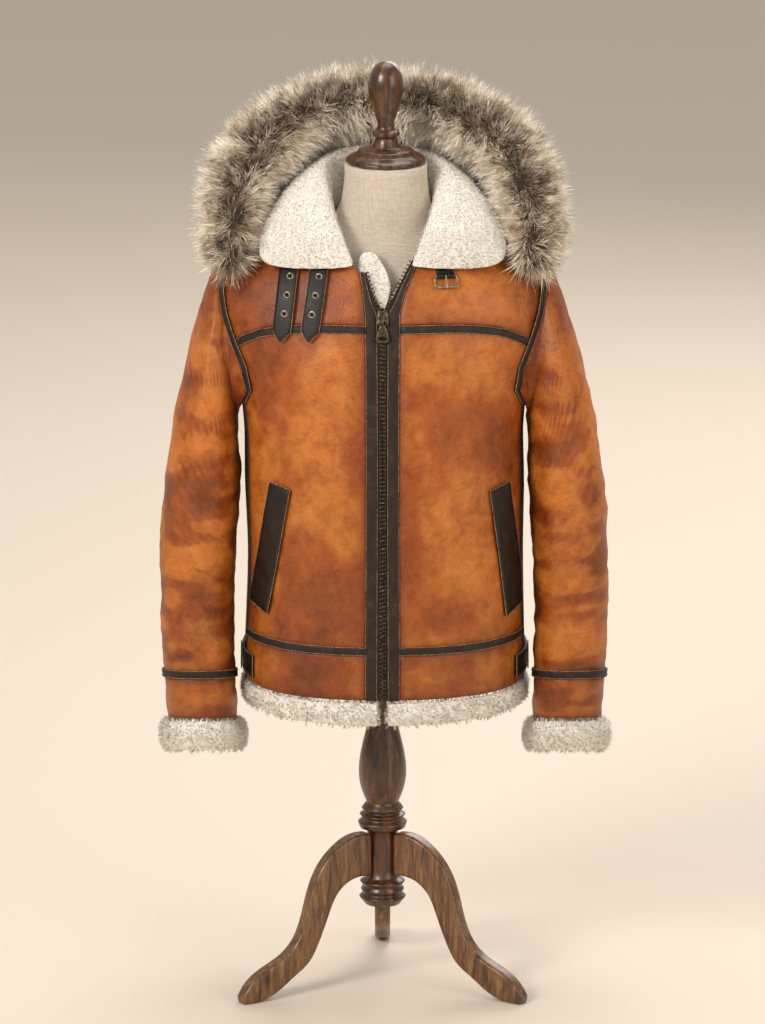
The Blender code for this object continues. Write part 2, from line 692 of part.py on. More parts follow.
# ---------------------------------------------------------------- zip
def build_front_edges():
    """Placket strips and zip tapes, straight to the slider and parted above it."""
    for side_name, side in SIDES:
        heights = (list(steps(HEM_TOP, HEM_SEAM, 2)) + list(steps(HEM_SEAM, 800, UNDERARM_ROWS))[1:]
                   + list(CHEST_HEIGHTS + V_HEIGHTS) + [FRONT_EDGE[side_name][-1][0]])
        strip_cells, tape_cells = [], []
        for h in heights:
            edge = row_at(FRONT_EDGE[side_name], EDGE_COLUMNS, h)
            tape = edge["teeth"] + min(TAPE_WIDTH, 0.45 * (edge["strip"] - edge["teeth"]))
            teeth_angle, tape_angle, strip_edge = (
                angle_at(side * x, h) for x in (edge["teeth"], tape, edge["strip"]))
            tape_cells.append([(teeth_angle, h), (tape_angle, h)])
            strip_cells.append([(tape_angle, h), (strip_edge, h)])
        panel(f"placket_{side_name}", strip_cells, side, "dark_leather", raised=1.0)
        panel(f"zip_tape_{side_name}", tape_cells, side, "zip_tape", thickness=3.0, raised=-1.0)


SLIDER_HEIGHT = 935.0
SLIDER_WIDTH = 15.0
SLIDER_LENGTH = 21.0
SLIDER_OUT = 1.3               # back of the slider over the coat's face
SLIDER_THICK = 4.0
BAIL_OUT = SLIDER_THICK + 3.4  # the pull's pin over the slider's back
BAIL_BELOW = 6.0               # the pull's pin, below the slider's middle
PIN_RADIUS = 1.2
PULL_WIDTH = 18.5
PULL_LENGTH = 27.0
PULL_THICK = 2.0
PULL_DROOP = 12.0              # the pull leans this far in towards the coat
LUG_SPACE = 6.0
LUG_HEIGHT = 5.6


def union(target, others):
    """Joins other closed meshes into one body."""
    for other in others:
        joined = target.modifiers.new("Join", "BOOLEAN")
        joined.operation = "UNION"
        joined.object = other
    plain = as_mesh(target)
    for other in others:
        bpy.data.objects.remove(other)
    return plain


def box(name, size, centre, material_name, frame=None):
    """Box of a size in millimetres, about a centre in its frame."""
    mesh = bpy.data.meshes.new(name)
    shape = bmesh.new()
    bmesh.ops.create_cube(shape, size=1)
    bmesh.ops.scale(shape, vec=Vector(size) * MM, verts=shape.verts)
    bmesh.ops.translate(shape, vec=Vector(centre) * MM, verts=shape.verts)
    shape.to_mesh(mesh)
    shape.free()
    made = add_object(name, mesh, material_name)
    if frame:
        made.matrix_world = frame
    return made


def rod(name, radius, length, centre, material_name, frame, points=10):
    """Rod along its frame's X."""
    mesh = bpy.data.meshes.new(name)
    shape = bmesh.new()
    bmesh.ops.create_cone(shape, cap_ends=True, segments=points, radius1=radius * MM, radius2=radius * MM,
                          depth=length * MM)
    bmesh.ops.rotate(shape, verts=shape.verts, matrix=Matrix.Rotation(math.pi / 2, 3, "Y"))
    bmesh.ops.translate(shape, vec=Vector(centre) * MM, verts=shape.verts)
    shape.to_mesh(mesh)
    shape.free()
    made = add_object(name, mesh, material_name)
    made.matrix_world = frame
    return made


def build_slider():
    """Slider body with two lugs and the pin that its pull turns on."""
    frame = on_face(0, SLIDER_HEIGHT, SLIDER_OUT)
    half = SLIDER_LENGTH / 2
    outline = [(-5.5, -half), (5.5, -half), (7.5, -half + 3), (7.0, 1), (7.5, half - 4), (5, half),
               (1.2, half), (0, half - 2.5), (-1.2, half), (-5, half), (-7.5, half - 4), (-7.0, 1),
               (-7.5, -half + 3)]
    body = flat_plate("zip_slider", [outline], SLIDER_THICK, "antique_brass")
    body.matrix_world = frame @ Matrix.Translation((0, 0, SLIDER_THICK / 2 * MM))
    body = as_mesh(body)
    lug_x = LUG_SPACE / 2 + 0.8
    lug_out = BAIL_OUT + PIN_RADIUS + 0.5 - LUG_HEIGHT / 2
    lugs = [box(f"lug_{i}", (1.6, 4.4, LUG_HEIGHT), (s * lug_x, -BAIL_BELOW, lug_out), "antique_brass", frame)
            for i, s in enumerate((-1, 1))]
    pin = rod("pin", PIN_RADIUS, 2 * lug_x, (0, -BAIL_BELOW, BAIL_OUT), "antique_brass", frame)
    union(body, lugs + [pin])


def build_pull():
    """Blank pull tab with an eye round the pin and an oval hole near its end; its origin is on the pin."""
    place = on_face(0, SLIDER_HEIGHT, SLIDER_OUT) @ Matrix.Translation(
        Vector((0, -BAIL_BELOW, BAIL_OUT)) * MM)
    level = Matrix.Translation(place.translation)
    slope = place.to_3x3().col[1]
    lean = Matrix.Rotation(math.atan2(slope.z, slope.y) + math.radians(PULL_DROOP), 4, "X")
    end = -PULL_LENGTH
    outline = [(-2.4, -2.2), (-2.4, -4), (-4.2, -6.5), (-6.5, -13), (-8.8, -20),
               (-PULL_WIDTH / 2, end + 4), (-7.5, end + 1), (-4, end), (4, end), (7.5, end + 1),
               (PULL_WIDTH / 2, end + 4), (8.8, -20), (6.5, -13), (4.2, -6.5), (2.4, -4), (2.4, -2.2)]
    hole = [(x * 1.9, y) for x, y in circle(3.0, 10, (0, end + 6))]
    tab = flat_plate("zip_pull", [outline, hole], PULL_THICK, "antique_brass")
    eye = flat_plate("eye", [circle(3.0, 10), circle(PIN_RADIUS + GAP, 10)], LUG_SPACE - 2 * GAP - 0.4,
                     "antique_brass")
    eye.matrix_world = Matrix.Rotation(math.pi / 2, 4, "Y")
    pull = union(as_mesh(tab), [as_mesh(eye)])
    pull.matrix_world = level @ lean
    return pull


# ---------------------------------------------------------------- hem and pockets
HEM_BOTTOM = 396.0
HEM_DIP = 6.0                  # the roll hangs lower at the centre front
HEM_STATIONS = 24


def rolled_section(out, height, thick, tall):
    """Rounded section of a wool roll as (out, height) points."""
    half_thick, half_tall = thick / 2, tall / 2
    shape = [(1, 0.45), (0.55, 0.95), (-0.55, 1), (-1, 0.45), (-1, -0.5), (-0.5, -1), (0.5, -1), (1, -0.45)]
    return [(out + half_thick * x, height + half_tall * y) for x, y in shape]


def build_hem_wool():
    for side_name, side in SIDES:
        rings = []
        for t in steps(0, 1, HEM_STATIONS):
            angle = mix(0.8, 180 - 0.1, t)
            c = math.cos(math.radians(angle))
            bottom = HEM_BOTTOM - HEM_DIP * max(c, 0) ** 2
            top = HEM_TOP - GAP
            puff = 4 + 3 * abs(c)
            section = rolled_section((puff - 9) / 2, (top + bottom) / 2, puff + 9, top - bottom)
            rings.append([torso(side * angle, h, out) for out, h in section])
        loft(f"hem_wool_{side_name}", rings, "cream_wool")


POCKET_COLUMNS = ("share", "inner_x", "inner_z", "outer_x", "outer_z")
POCKET = {
    "right": np.array([(0, 119, 706, 146, 711), (0.5, 133, 620, 160, 627), (1, 149, 532, 172, 542)]),
    "left": np.array([(0, 139, 701, 165, 708), (0.5, 150, 615, 176, 623), (1, 160, 527, 181, 538)]),
}
POCKET_ROWS = 6
WELT_LIFT = 1.6
WELT_THICK = 2.5


def build_pocket_welts():
    """Slanted leather welts on the front panels."""
    for side_name, side in SIDES:
        rings = []
        for t in steps(0, 1, POCKET_ROWS):
            row = row_at(POCKET[side_name], POCKET_COLUMNS, t)
            corners = []
            for share, out in ((0, WELT_LIFT), (0.5, WELT_LIFT), (1, WELT_LIFT),
                               (1, WELT_LIFT + WELT_THICK), (0.5, WELT_LIFT + WELT_THICK),
                               (0, WELT_LIFT + WELT_THICK)):
                x = mix(row["inner_x"], row["outer_x"], share)
                z = mix(row["inner_z"], row["outer_z"], share)
                corners.append(torso(side * angle_at(side * x, z), z, out))
            rings.append(corners)
        loft(f"pocket_welt_{side_name}", rings, "dark_leather")


# ---------------------------------------------------------------- sleeves
def sleeve_ring(along, side):
    """Plain ring of a sleeve, as on the left: point of a turn, 0 outside, 90 front, 180 inside."""
    row = row_at(SLEEVE, SLEEVE_COLUMNS, along)
    hang = row_at(SLEEVE_HANG, HANG_COLUMNS, along)
    swing = max(side, 0) * hang["swing"]
    outer = np.array((row["outer_x"] + swing, row["mid_y"], row["outer_z"]))
    inner = np.array((row["inner_x"] + swing, row["mid_y"], row["inner_z"]))
    centre = (outer + inner) / 2
    across = (outer - inner) / 2
    deep = np.array((0, -row["half_depth"], hang["tilt"]))

    def point(turn):
        if math.cos(math.radians(turn)) > 0:
            turn -= hang["head"] * math.sin(math.radians(2 * turn))
        c = math.cos(math.radians(turn))
        s = math.sin(math.radians(turn))
        power = 2 / SLEEVE_SQUARE
        return (centre + across * math.copysign(abs(c) ** power, c)
                + deep * math.copysign(abs(s) ** power, s))
    return point


def sleeve(side, turn, along, out=0.0):
    """Point of a sleeve at a distance outside its face, with its soft folds."""
    ring = sleeve_ring(along, side)
    point = ring(turn)
    round_it = ring(turn + 2) - ring(turn - 2)
    down = sleeve_ring(along + 4, side)(turn) - sleeve_ring(along - 4, side)(turn)
    normal = unit(np.cross(round_it, down))
    return mirrored(point + normal * (out + folds(SLEEVE_FOLDS, SLEEVE_FOLD_COLUMNS, turn, along)), side)


SLEEVE_STARTS = (30.0, 75.0, 120.0, 170.0, 220.0, 270.0, 315.0, 355.0, 395.0, 432.0, 470.0, 510.0, 548.0,
                 CUFF_SEAM - 12, CUFF_SEAM)


HEAD_GAP = 0.9                # clearance of a sleeve's head in its armhole
HEAD_STEP = 0.12               # share of the way to the first ring at which a sleeve's wall has turned


def sleeve_head(side, out):
    """First two rings of a sleeve: its seam in the armhole, and the wall's turn into the arm."""
    places = [(side * angle, height) for angle, height in map(armhole, range(TURNS))]
    outer = np.array([torso(*place) for place in places])
    centre = outer.mean(axis=0)
    seam, turned_rim = [], []
    for k, place in enumerate(places):
        turn = 360.0 * k / TURNS
        off = unit(centre - outer[k]) * HEAD_GAP
        first = sleeve(side, turn, SLEEVE_STARTS[0])
        under = max(-math.cos(math.radians(turn)), 0)
        arm_normal = unit(sleeve(side, turn, SLEEVE_STARTS[0], 1.0) - first)
        normal = unit(torso_normal(*place) + (arm_normal + np.array((0, 0, -0.6))) * under)
        seam.append(torso(*place, out) + off)
        turned_rim.append(mix(outer[k] + off, first, HEAD_STEP) + normal * out)
    return [seam, turned_rim]


def build_sleeves():
    turns = [360.0 * k / TURNS for k in range(TURNS)]
    wool = rolled_section(1.5, (CUFF_END + GAP + WRIST_END) / 2, 23, WRIST_END - CUFF_END - GAP)
    for side_name, side in SIDES:
        def grid(rows, out):
            return np.array([[sleeve(side, turn, along, out) for turn in turns] for along in rows])

        layers = [pull_in(np.concatenate([sleeve_head(side, out), grid(SLEEVE_STARTS, out)]), ("top",))
                  for out in (0.0, -SHEARLING)]
        wall(f"sleeve_{side_name}", *layers, "tan_shearling", tube=True)
        rim, beside = layers[0][-1], layers[0][-2]
        centre = rim.mean(axis=0)
        rim, beside = (np.concatenate([line[-1:], line, line[:1]]) for line in (rim, beside))
        lines = edge_lines(rim, beside, lambda point: point - centre)
        strip(f"cuff_trim_{side_name}", [line[1:-1] for line in lines], closed=True)
        band_rows = (CUFF_SEAM, mix(CUFF_SEAM, CUFF_END, 0.5), CUFF_END)
        band = [pull_in(grid(band_rows, out), ("bottom", "top")) for out in (0.0, -SHEARLING)]
        wall(f"cuff_band_{side_name}", *band, "tan_shearling", tube=True)
        rings = [[sleeve(side, turn, along, out) for out, along in wool] for turn in turns]
        loft(f"cuff_wool_{side_name}", rings, "cream_wool", closed=True)


# ---------------------------------------------------------------- collar, flap, hood and ruff
def collar_station(place):
    """Four points across the collar; place goes from 0 at a front end to 6 at the centre back."""
    table = np.column_stack([np.arange(len(COLLAR)), COLLAR])
    columns = ("place",) + COLLAR_COLUMNS
    row = row_at(table, columns, place)
    angle = row["neck_angle"]
    foot = torso(angle, neckline(angle)[1] + row["neck_rise"], row["neck_out"])
    return [foot] + [np.array([row[f"{part}_{axis}"] for axis in "xyz"]) for part in ("roll", "mid", "edge")]


def build_collar():
    """One thick band of wool: stand, roll and fall, with wings that lie open."""
    last = len(COLLAR) - 1
    rows = []
    for t in steps(0, 2 * last, COLLAR_STATIONS - 1):
        side = -1 if t < last else 1
        rows.append(mirrored(collar_station(t if t < last else 2 * last - t), side) * MM)
    grid = np.array(rows)
    count, across = grid.shape[:2]
    faces = [(r * across + c, r * across + c + 1, (r + 1) * across + c + 1, (r + 1) * across + c)
             for r in range(count - 1) for c in range(across - 1)]
    mesh = bpy.data.meshes.new("collar")
    mesh.from_pydata([Vector(p) for p in grid.reshape(-1, 3)], [], faces)
    collar = add_object("collar", mesh, "cream_wool")
    thick = collar.modifiers.new("Wool", "SOLIDIFY")
    thick.thickness = WOOL_COLLAR * MM
    thick.offset = 0
    soft = collar.modifiers.new("Soft", "SUBSURF")
    soft.levels = soft.render_levels = 1
    mesh.shade_smooth()


FLAP_COLUMNS = ("height", "x", "half_width")
WIND_FLAP = np.array([(947, 1, 4), (960, -1, 11), (978, -6, 18),
                      (996, -14, 19), (1010, -18, 16), (1018, -19, 9)])
FACING = np.array([(958, 14, 3), (972, 22, 5), (988, 32, 6), (1000, 40, 6), (1008, 45, 4)])
FLAP_THICK = 9.0
FLAP_SECTION = [(0.85, 0), (0, 0), (-0.85, 0), (-1, 0.3), (-0.8, 0.8), (0, 1), (0.8, 0.8), (1, 0.3)]


def build_flaps():
    """Wool that shows in the open neck: the wind flap behind the zip and the left front's facing."""
    for name, table, clearance in (("wind_flap", WIND_FLAP, GAP), ("facing_left", FACING, 4 * GAP)):
        rings = []
        for h in steps(table[0][0], table[-1][0], 6):
            row = row_at(table, FLAP_COLUMNS, h)
            ring = []
            for across, deep in FLAP_SECTION:
                x = row["x"] + row["half_width"] * across
                out = -SHEARLING - clearance - FLAP_THICK * deep
                ring.append(torso(math.copysign(angle_at(x, h), x), h, out))
            rings.append(ring)
        loft(name, rings, "cream_wool")


def ruff_frame(share):
    """Centre, radius, direction to the hood and cross direction of the left half's ruff."""
    row = row_at(RUFF, RUFF_COLUMNS, share)
    centre = np.array((row["x"], row["y"], row["z"]))
    ahead = row_at(RUFF, RUFF_COLUMNS, min(share + 0.01, 1))
    behind = row_at(RUFF, RUFF_COLUMNS, max(share - 0.01, 0))
    tangent = unit(np.array([ahead[k] - behind[k] for k in "xyz"]))
    if share > 0.999:
        tangent = np.array((-1.0, 0, 0))
    blend = share * share * (3 - 2 * share)
    aim = mix(np.array((-1.0, 0.15, 0.0)), np.array((0, 0.92, -0.39)), blend)
    to_hood = unit(aim - tangent * (aim @ tangent))
    return centre, row["radius"], to_hood, np.cross(tangent, to_hood)


def ruff_shares():
    """Stations of half the ruff, close together at its rounded end."""
    half = RUFF_STATIONS // 2
    ends = [0.0, 0.03, 0.08]
    return ends + list(steps(0.15, 1.0, half - len(ends)))


def build_ruff():
    shares = ruff_shares()
    rings = []
    for side, order in ((-1, shares), (1, shares[-2::-1])):
        for share in order:
            centre, radius, to_hood, cross = ruff_frame(share)
            ring = []
            for a in np.radians(360 * np.arange(RUFF_POINTS) / RUFF_POINTS):
                free = (1 - math.cos(a)) / 2
                wave = LOCK_RISE * free * math.sin(2 * math.pi * LOCKS * share + 2 * a + side)
                ring.append(centre + (to_hood * math.cos(a) + cross * math.sin(a)) * (radius + wave))
            rings.append(mirrored(ring, side))
    loft("fur_ruff", rings, "fur")


# How far the hood bellies out from the ruff and from the neck, from its front end to the centre back.
HOOD_COLUMNS = ("share", "from_ruff", "from_neck", "neck_angle", "drop")
HOOD = np.array([
    (0.10, 8, 8, 26, 0.0),
    (0.30, 20, 20, 48, 0.05),
    (0.50, 48, 55, 88, 0.2),
    (0.70, 76, 112, 130, 0.45),
    (0.85, 90, 152, 158, 0.6),
    (1.00, 94, 168, 180, 0.65),
])


def hood_curve(share):
    """Row of points of the hood's middle layer, from the ruff to the neck seam of the left half."""
    row = row_at(HOOD, HOOD_COLUMNS, share)
    centre, radius, to_hood, cross = ruff_frame(share)
    start = centre + to_hood * (radius + GAP + 0.5)
    angle = row["neck_angle"]
    neck_height = neckline(angle)[1] - 9
    end = torso(angle, neck_height, HOOD_WALL / 2 + 1.0)
    away = torso_normal(angle, neck_height)
    leave = unit(np.array((away[0], away[1], 0)) * (1 - row["drop"]) + np.array((0, 0.5, -1)) * row["drop"]
                 + np.array((0, 0, 0.6)) * (1 - row["drop"]))
    first = start + to_hood * row["from_ruff"]
    second = end + leave * row["from_neck"]
    points = []
    for t in steps(0, 1, HOOD_ROWS):
        slouch = HOOD_FOLD * share * math.sin(math.pi * t) * math.sin(4 * math.pi * t)
        points.append((1 - t) ** 3 * start + 3 * (1 - t) ** 2 * t * first
                      + 3 * (1 - t) * t * t * second + t ** 3 * end + np.array((0, slouch, -slouch)))
    return np.array(points)


def build_hood():
    shares = [s for s in ruff_shares() if s > 0.1]
    rows = []
    for side, order in ((-1, shares), (1, shares[-2::-1])):
        for share in order:
            rows.append(mirrored(hood_curve(share), side))
    middle = np.array(rows)
    along = np.gradient(middle, axis=0)
    across = np.gradient(middle, axis=1)
    normal = np.cross(along, across)
    normal /= np.linalg.norm(normal, axis=2, keepdims=True)
    wall("hood", middle + normal * HOOD_WALL / 2, middle - normal * HOOD_WALL / 2, "tan_shearling")


# ---------------------------------------------------------------- straps and buckles
STRAP_WIDTH = 23.0
STRAP_THICK = 2.4
STRAP_LIFT = 3.0               # clears the yoke trim that the straps cross
# Middle of a strap at its top and at its tip.
NECK_STRAPS = {"neck_strap_a": ((-119, 1004), (-131, 901)), "neck_strap_b": ((-80, 1004), (-95, 903))}


def build_neck_straps():
    for name, ((top_x, top_z), (tip_x, tip_z)) in NECK_STRAPS.items():
        rings = []
        for share, width in ((0, 1), (0.2, 1), (0.4, 1), (0.6, 1), (0.75, 1), (0.88, 1), (1, 0.12)):
            x = mix(top_x, tip_x, share)
            z = mix(top_z, tip_z, share)
            half = STRAP_WIDTH / 2 * width
            ring = []
            for offset, out in ((-half, 0), (0, 0), (half, 0), (half, STRAP_THICK), (0, STRAP_THICK),
                                (-half, STRAP_THICK)):
                ring.append(torso(-angle_at(x + offset, z), z, STRAP_LIFT + out))
            rings.append(ring)
        loft(name, rings, "dark_leather")


BUCKLE_X = 81.5
BUCKLE_HEIGHT = 984.0
BUCKLE_OUT = 3.4
BAR_RADIUS = 1.5
BUCKLE_WIDTH = 30.0            # between the middles of the side bars
BUCKLE_DROP = 15.5             # between the middles of the top and bottom bars
LOOP_WIDTH = 22.0
LOOP_THICK = 1.8
TAIL_THICK = 2.2
TAIL_LENGTH = 14.0
PRONG_WIDTH = 2.4
PRONG_EYE = 1.2                # wall of the eye round the bar


def build_neck_buckle():
    """Strap end that holds a buckle's top bar, the frame that swings on it, and its prong."""
    place = on_face(angle_at(BUCKLE_X, BUCKLE_HEIGHT), BUCKLE_HEIGHT, BUCKLE_OUT)
    upright = Matrix(((0, 0, 1, 0), (0, 1, 0, 0), (-1, 0, 0, 0), (0, 0, 0, 1)))
    bore = BAR_RADIUS + GAP
    outer = bore + LOOP_THICK
    meet = math.degrees(math.acos(1 - TAIL_THICK / outer))
    outline = ([(outer * math.cos(a), outer * math.sin(a)) for a in np.radians(steps(0, meet - 360, 10))]
               + [(outer - TAIL_THICK, TAIL_LENGTH), (outer, TAIL_LENGTH)])
    strap = flat_plate("buckle_strap", [outline, circle(bore, 10)], LOOP_WIDTH, "dark_leather")
    strap.matrix_world = place @ upright
    strap = as_mesh(strap)
    slot = box("slot", (PRONG_WIDTH + 1.2, 2 * outer + 3, 4 * outer), (0, -1.5, 0), "dark_leather", place)
    cut = strap.modifiers.new("Slot", "BOOLEAN")
    cut.object = slot
    strap = as_mesh(strap)
    bpy.data.objects.remove(slot)

    half = BUCKLE_WIDTH / 2
    corner = 3.0
    curve = bpy.data.curves.new("neck_buckle", "CURVE")
    curve.dimensions = "3D"
    curve.bevel_depth = BAR_RADIUS * MM
    curve.bevel_resolution = 1
    line = curve.splines.new("POLY")
    path = []
    for cx, cy, start in ((half - corner, -corner, 90), (half - corner, corner - BUCKLE_DROP, 0),
                          (corner - half, corner - BUCKLE_DROP, -90), (corner - half, -corner, -180)):
        for a in np.radians(steps(start, start - 90, 2)):
            path.append((cx + corner * math.cos(a), cy + corner * math.sin(a)))
    line.points.add(len(path) - 1)
    for point, (x, y) in zip(line.points, path):
        point.co = (x * MM, y * MM, 0, 1)
    line.use_cyclic_u = True
    frame = add_object("neck_buckle", curve, "antique_brass")
    frame.matrix_world = place
    frame = as_mesh(frame)

    eye = bore + PRONG_EYE
    finger = [(-bore, -BUCKLE_DROP - 2.0), (-bore - 1.6, -BUCKLE_DROP - 2.0), (-bore - 1.8, -3.0)]
    ring = [(eye * math.cos(a), eye * math.sin(a)) for a in np.radians(steps(180, -120, 10))]
    prong_outline = finger + ring[:-1] + [(0.2 - bore, -3.2)]
    prong = flat_plate("neck_buckle_prong", [prong_outline, circle(bore, 10)], PRONG_WIDTH,
                       "antique_brass")
    prong.matrix_world = place @ upright
    as_mesh(prong)


TAB_LOW, TAB_HIGH = 438.0, 468.0
TAB_LIFT = 0.8
TAB_THICK = 2.2
TAB_ANGLES = (66.0, 112.0)
SIDE_BUCKLE = (24.0, 34.0)     # width and height
SIDE_BAR = 1.0


def build_side_tabs():
    """Adjuster straps round the sides of the lower band, each with its fastened buckle."""
    for side_name, side in SIDES:
        rings = []
        for angle in steps(*TAB_ANGLES, 8):
            rings.append([torso(side * angle, h, out) for h, out in
                          ((TAB_LOW, TAB_LIFT), (TAB_HIGH, TAB_LIFT), (TAB_HIGH, TAB_LIFT + TAB_THICK),
                           (TAB_LOW, TAB_LIFT + TAB_THICK))])
        loft(f"side_tab_{side_name}", rings, "dark_leather")
        width, tall = SIDE_BUCKLE
        middle = (TAB_LOW + TAB_HIGH) / 2
        curve = bpy.data.curves.new(f"side_buckle_{side_name}", "CURVE")
        curve.dimensions = "3D"
        curve.bevel_depth = SIDE_BAR * MM
        curve.bevel_resolution = 1
        line = curve.splines.new("POLY")
        corner = 4.0
        path = []
        for cx, cy, start in ((1, 1, 0), (-1, 1, 90), (-1, -1, 180), (1, -1, 270)):
            for a in np.radians(steps(start, start + 90, 2)):
                path.append((cx * (width / 2 - corner) + corner * math.cos(a),
                             cy * (tall / 2 - corner) + corner * math.sin(a)))
        line.points.add(len(path) - 1)
        for point, (x, y) in zip(line.points, path):
            point.co = (x * MM, y * MM, 0, 1)
        line.use_cyclic_u = True
        buckle = add_object(f"side_buckle_{side_name}", curve, "antique_brass")
        buckle.matrix_world = on_face(side * 88, middle, TAB_LIFT + TAB_THICK + GAP + SIDE_BAR)
        as_mesh(buckle)


# ---------------------------------------------------------------- form and stand
def form_point(angle, height):
    """Point of the dress form: the coat's inside less its ease, and above that the neck."""
    if height <= NECKLINE[-1][1]:
        ease = row_at(EASE, EASE_COLUMNS, height)
        front = max(math.cos(math.radians(angle)), 0) ** 2
        room = SHEARLING + GAP + 0.2 + ease["ease"] + ease["front_ease"] * front
        return torso_face(angle, height) - torso_normal(angle, height) * room
    table = np.array(FORM_NECK)
    ring = row_at(table, FORM_NECK_COLUMNS, height)
    c = math.cos(math.radians(angle))
    reach = ring["front"] if c > 0 else ring["back"]
    return np.array((NECK_SHIFT + ring["half_width"] * math.sin(math.radians(angle)), -reach * c, height))


def build_form():
    heights = [440, 480, 530, 600, 660, 720, 780, 840, 890, 930, 960, 982, 1000, 1016, 1031, 1046, 1060, 1075,
               1095, FORM_TOP]
    angles = [360.0 * k / FORM_POINTS for k in range(FORM_POINTS)]
    rings = []
    for height in heights:
        ring = np.array([form_point(a, height) for a in angles])
        if height in (heights[0], heights[-1]):
            ring[:, 2] = height
        rings.append(ring)
    loft("form_torso", rings, "linen")


def rounded_line(points, count):
    """Smooth open line through a few points."""
    points = np.array(points, dtype=float)
    lengths = np.concatenate([[0], np.cumsum(np.linalg.norm(np.diff(points, axis=0), axis=1))])
    table = np.column_stack([lengths, points])
    return [(spline(table, ("length", "x", "y"), "x", at), spline(table, ("length", "x", "y"), "y", at))
            for at in steps(0, lengths[-1], count)]


def build_stand():
    cap = turned("neck_cap", CAP_PROFILE, "walnut")
    cap.location.x = NECK_SHIFT * MM
    turned("pedestal", PEDESTAL_PROFILE, "walnut")
    outline = rounded_line(LEG_TOP, 16) + LEG_SOLE + rounded_line(LEG_UNDER, 14)
    for name, azimuth in LEG_AZIMUTHS.items():
        leg = flat_plate(name, [outline], LEG_THICKNESS, "walnut", LEG_ROUNDING)
        leg.rotation_euler = (math.pi / 2, 0, math.radians(azimuth))


# ---------------------------------------------------------------- the whole
def clear_scene():
    for made in list(bpy.data.objects):
        bpy.data.objects.remove(made)
    collection = bpy.data.collections.new(COLLECTION)
    bpy.context.scene.collection.children.link(collection)


def stand_on_origin():
    """Moves everything so that the origin is the bottom centre of the whole."""
    bpy.context.view_layer.update()
    graph = bpy.context.evaluated_depsgraph_get()
    low = Vector((1e9,) * 3)
    high = Vector((-1e9,) * 3)
    pieces = list(bpy.data.collections[COLLECTION].objects)
    for piece in pieces:
        evaluated = piece.evaluated_get(graph)
        mesh = evaluated.to_mesh()
        for vertex in mesh.vertices:
            point = piece.matrix_world @ vertex.co
            low = Vector(map(min, low, point))
            high = Vector(map(max, high, point))
        evaluated.to_mesh_clear()
    move = Vector((-(low.x + high.x) / 2, -(low.y + high.y) / 2, -low.z))
    for piece in pieces:
        piece.matrix_world = Matrix.Translation(move) @ piece.matrix_world
    return move


def main():
    clear_scene()
    fronts = build_fronts()
    back, back_yoke = build_back()
    build_side_panels()
    build_armhole_trims(fronts, back, back_yoke)
    build_front_edges()
    build_slider()
    build_pull()
    build_hem_wool()
    build_pocket_welts()
    build_sleeves()
    build_collar()
    build_flaps()
    build_ruff()
    build_hood()
    build_neck_straps()
    build_neck_buckle()
    build_side_tabs()
    build_form()
    build_stand()
    stand_on_origin()


main()
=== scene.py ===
"""Shearling coat with a fur-edged hood on a dress form: the finish of every piece.

Lengths are in metres unless a name ends in _MM. Sides are the wearer's: the right sleeve lies at -X.
"""

import json
import math

import bmesh
import bpy
import numpy as np
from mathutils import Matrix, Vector, bvhtree, kdtree, noise

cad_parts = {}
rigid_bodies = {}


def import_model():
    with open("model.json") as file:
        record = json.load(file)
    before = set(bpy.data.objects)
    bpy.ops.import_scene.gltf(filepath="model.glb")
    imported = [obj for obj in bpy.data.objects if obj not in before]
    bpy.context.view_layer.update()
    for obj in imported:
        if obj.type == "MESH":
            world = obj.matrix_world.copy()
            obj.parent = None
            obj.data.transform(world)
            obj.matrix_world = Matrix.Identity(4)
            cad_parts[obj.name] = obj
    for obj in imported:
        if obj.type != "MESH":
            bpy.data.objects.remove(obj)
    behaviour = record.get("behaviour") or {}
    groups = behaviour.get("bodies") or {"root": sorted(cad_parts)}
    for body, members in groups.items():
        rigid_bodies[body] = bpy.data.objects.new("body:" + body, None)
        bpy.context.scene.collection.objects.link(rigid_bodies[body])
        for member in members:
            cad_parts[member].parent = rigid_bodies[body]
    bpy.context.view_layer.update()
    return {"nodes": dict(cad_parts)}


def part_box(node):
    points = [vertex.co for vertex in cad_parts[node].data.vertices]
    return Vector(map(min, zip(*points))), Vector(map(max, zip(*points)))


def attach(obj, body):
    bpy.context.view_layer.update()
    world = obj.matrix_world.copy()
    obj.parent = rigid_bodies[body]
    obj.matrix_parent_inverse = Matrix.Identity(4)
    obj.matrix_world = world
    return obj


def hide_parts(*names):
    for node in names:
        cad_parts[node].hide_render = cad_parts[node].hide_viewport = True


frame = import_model()

NODES = frame["nodes"]
ROOT = "coat_and_stand"
SIDES = ("left", "right")
STAND_AXIS = np.array((-0.0033, -0.0302))
CHEST_HEIGHT = 0.9
TINY = 1e-9
PRINCIPLED = "Principled BSDF"

# ---- camera, light and floor
CAMERA_PLACE = (-0.003337, -12.030247, 3.67)
CAMERA_TILT = math.radians(90 - 14.15)
CAMERA_LENS_MM = 329.7
SENSOR_MM = 36.0
FAR_CLIP = 60
LIGHT_TARGET = Vector((0, 0, 0.75))
WORLD_COLOUR, WORLD_STRENGTH = "#F4EFE9", 0.55
FLOOR_COLOUR, FLOOR_ROUGHNESS, FLOOR_REACH = "#E4D6C6", 0.9, 30
# Name, place, size, watts and colour of each lamp.
LAMPS = (("key", (-2.6, -3.2, 3.0), 1.4, 120, "#FFFBF6"),
         ("fill", (3.0, -3.0, 2.2), 2.2, 48, "#FFFAF4"),
         ("top", (0.3, 0.6, 3.6), 2.0, 45, "#FFFFFF"),
         ("back", (1.2, 3.4, 2.6), 2.4, 60, "#FFFCF8"))


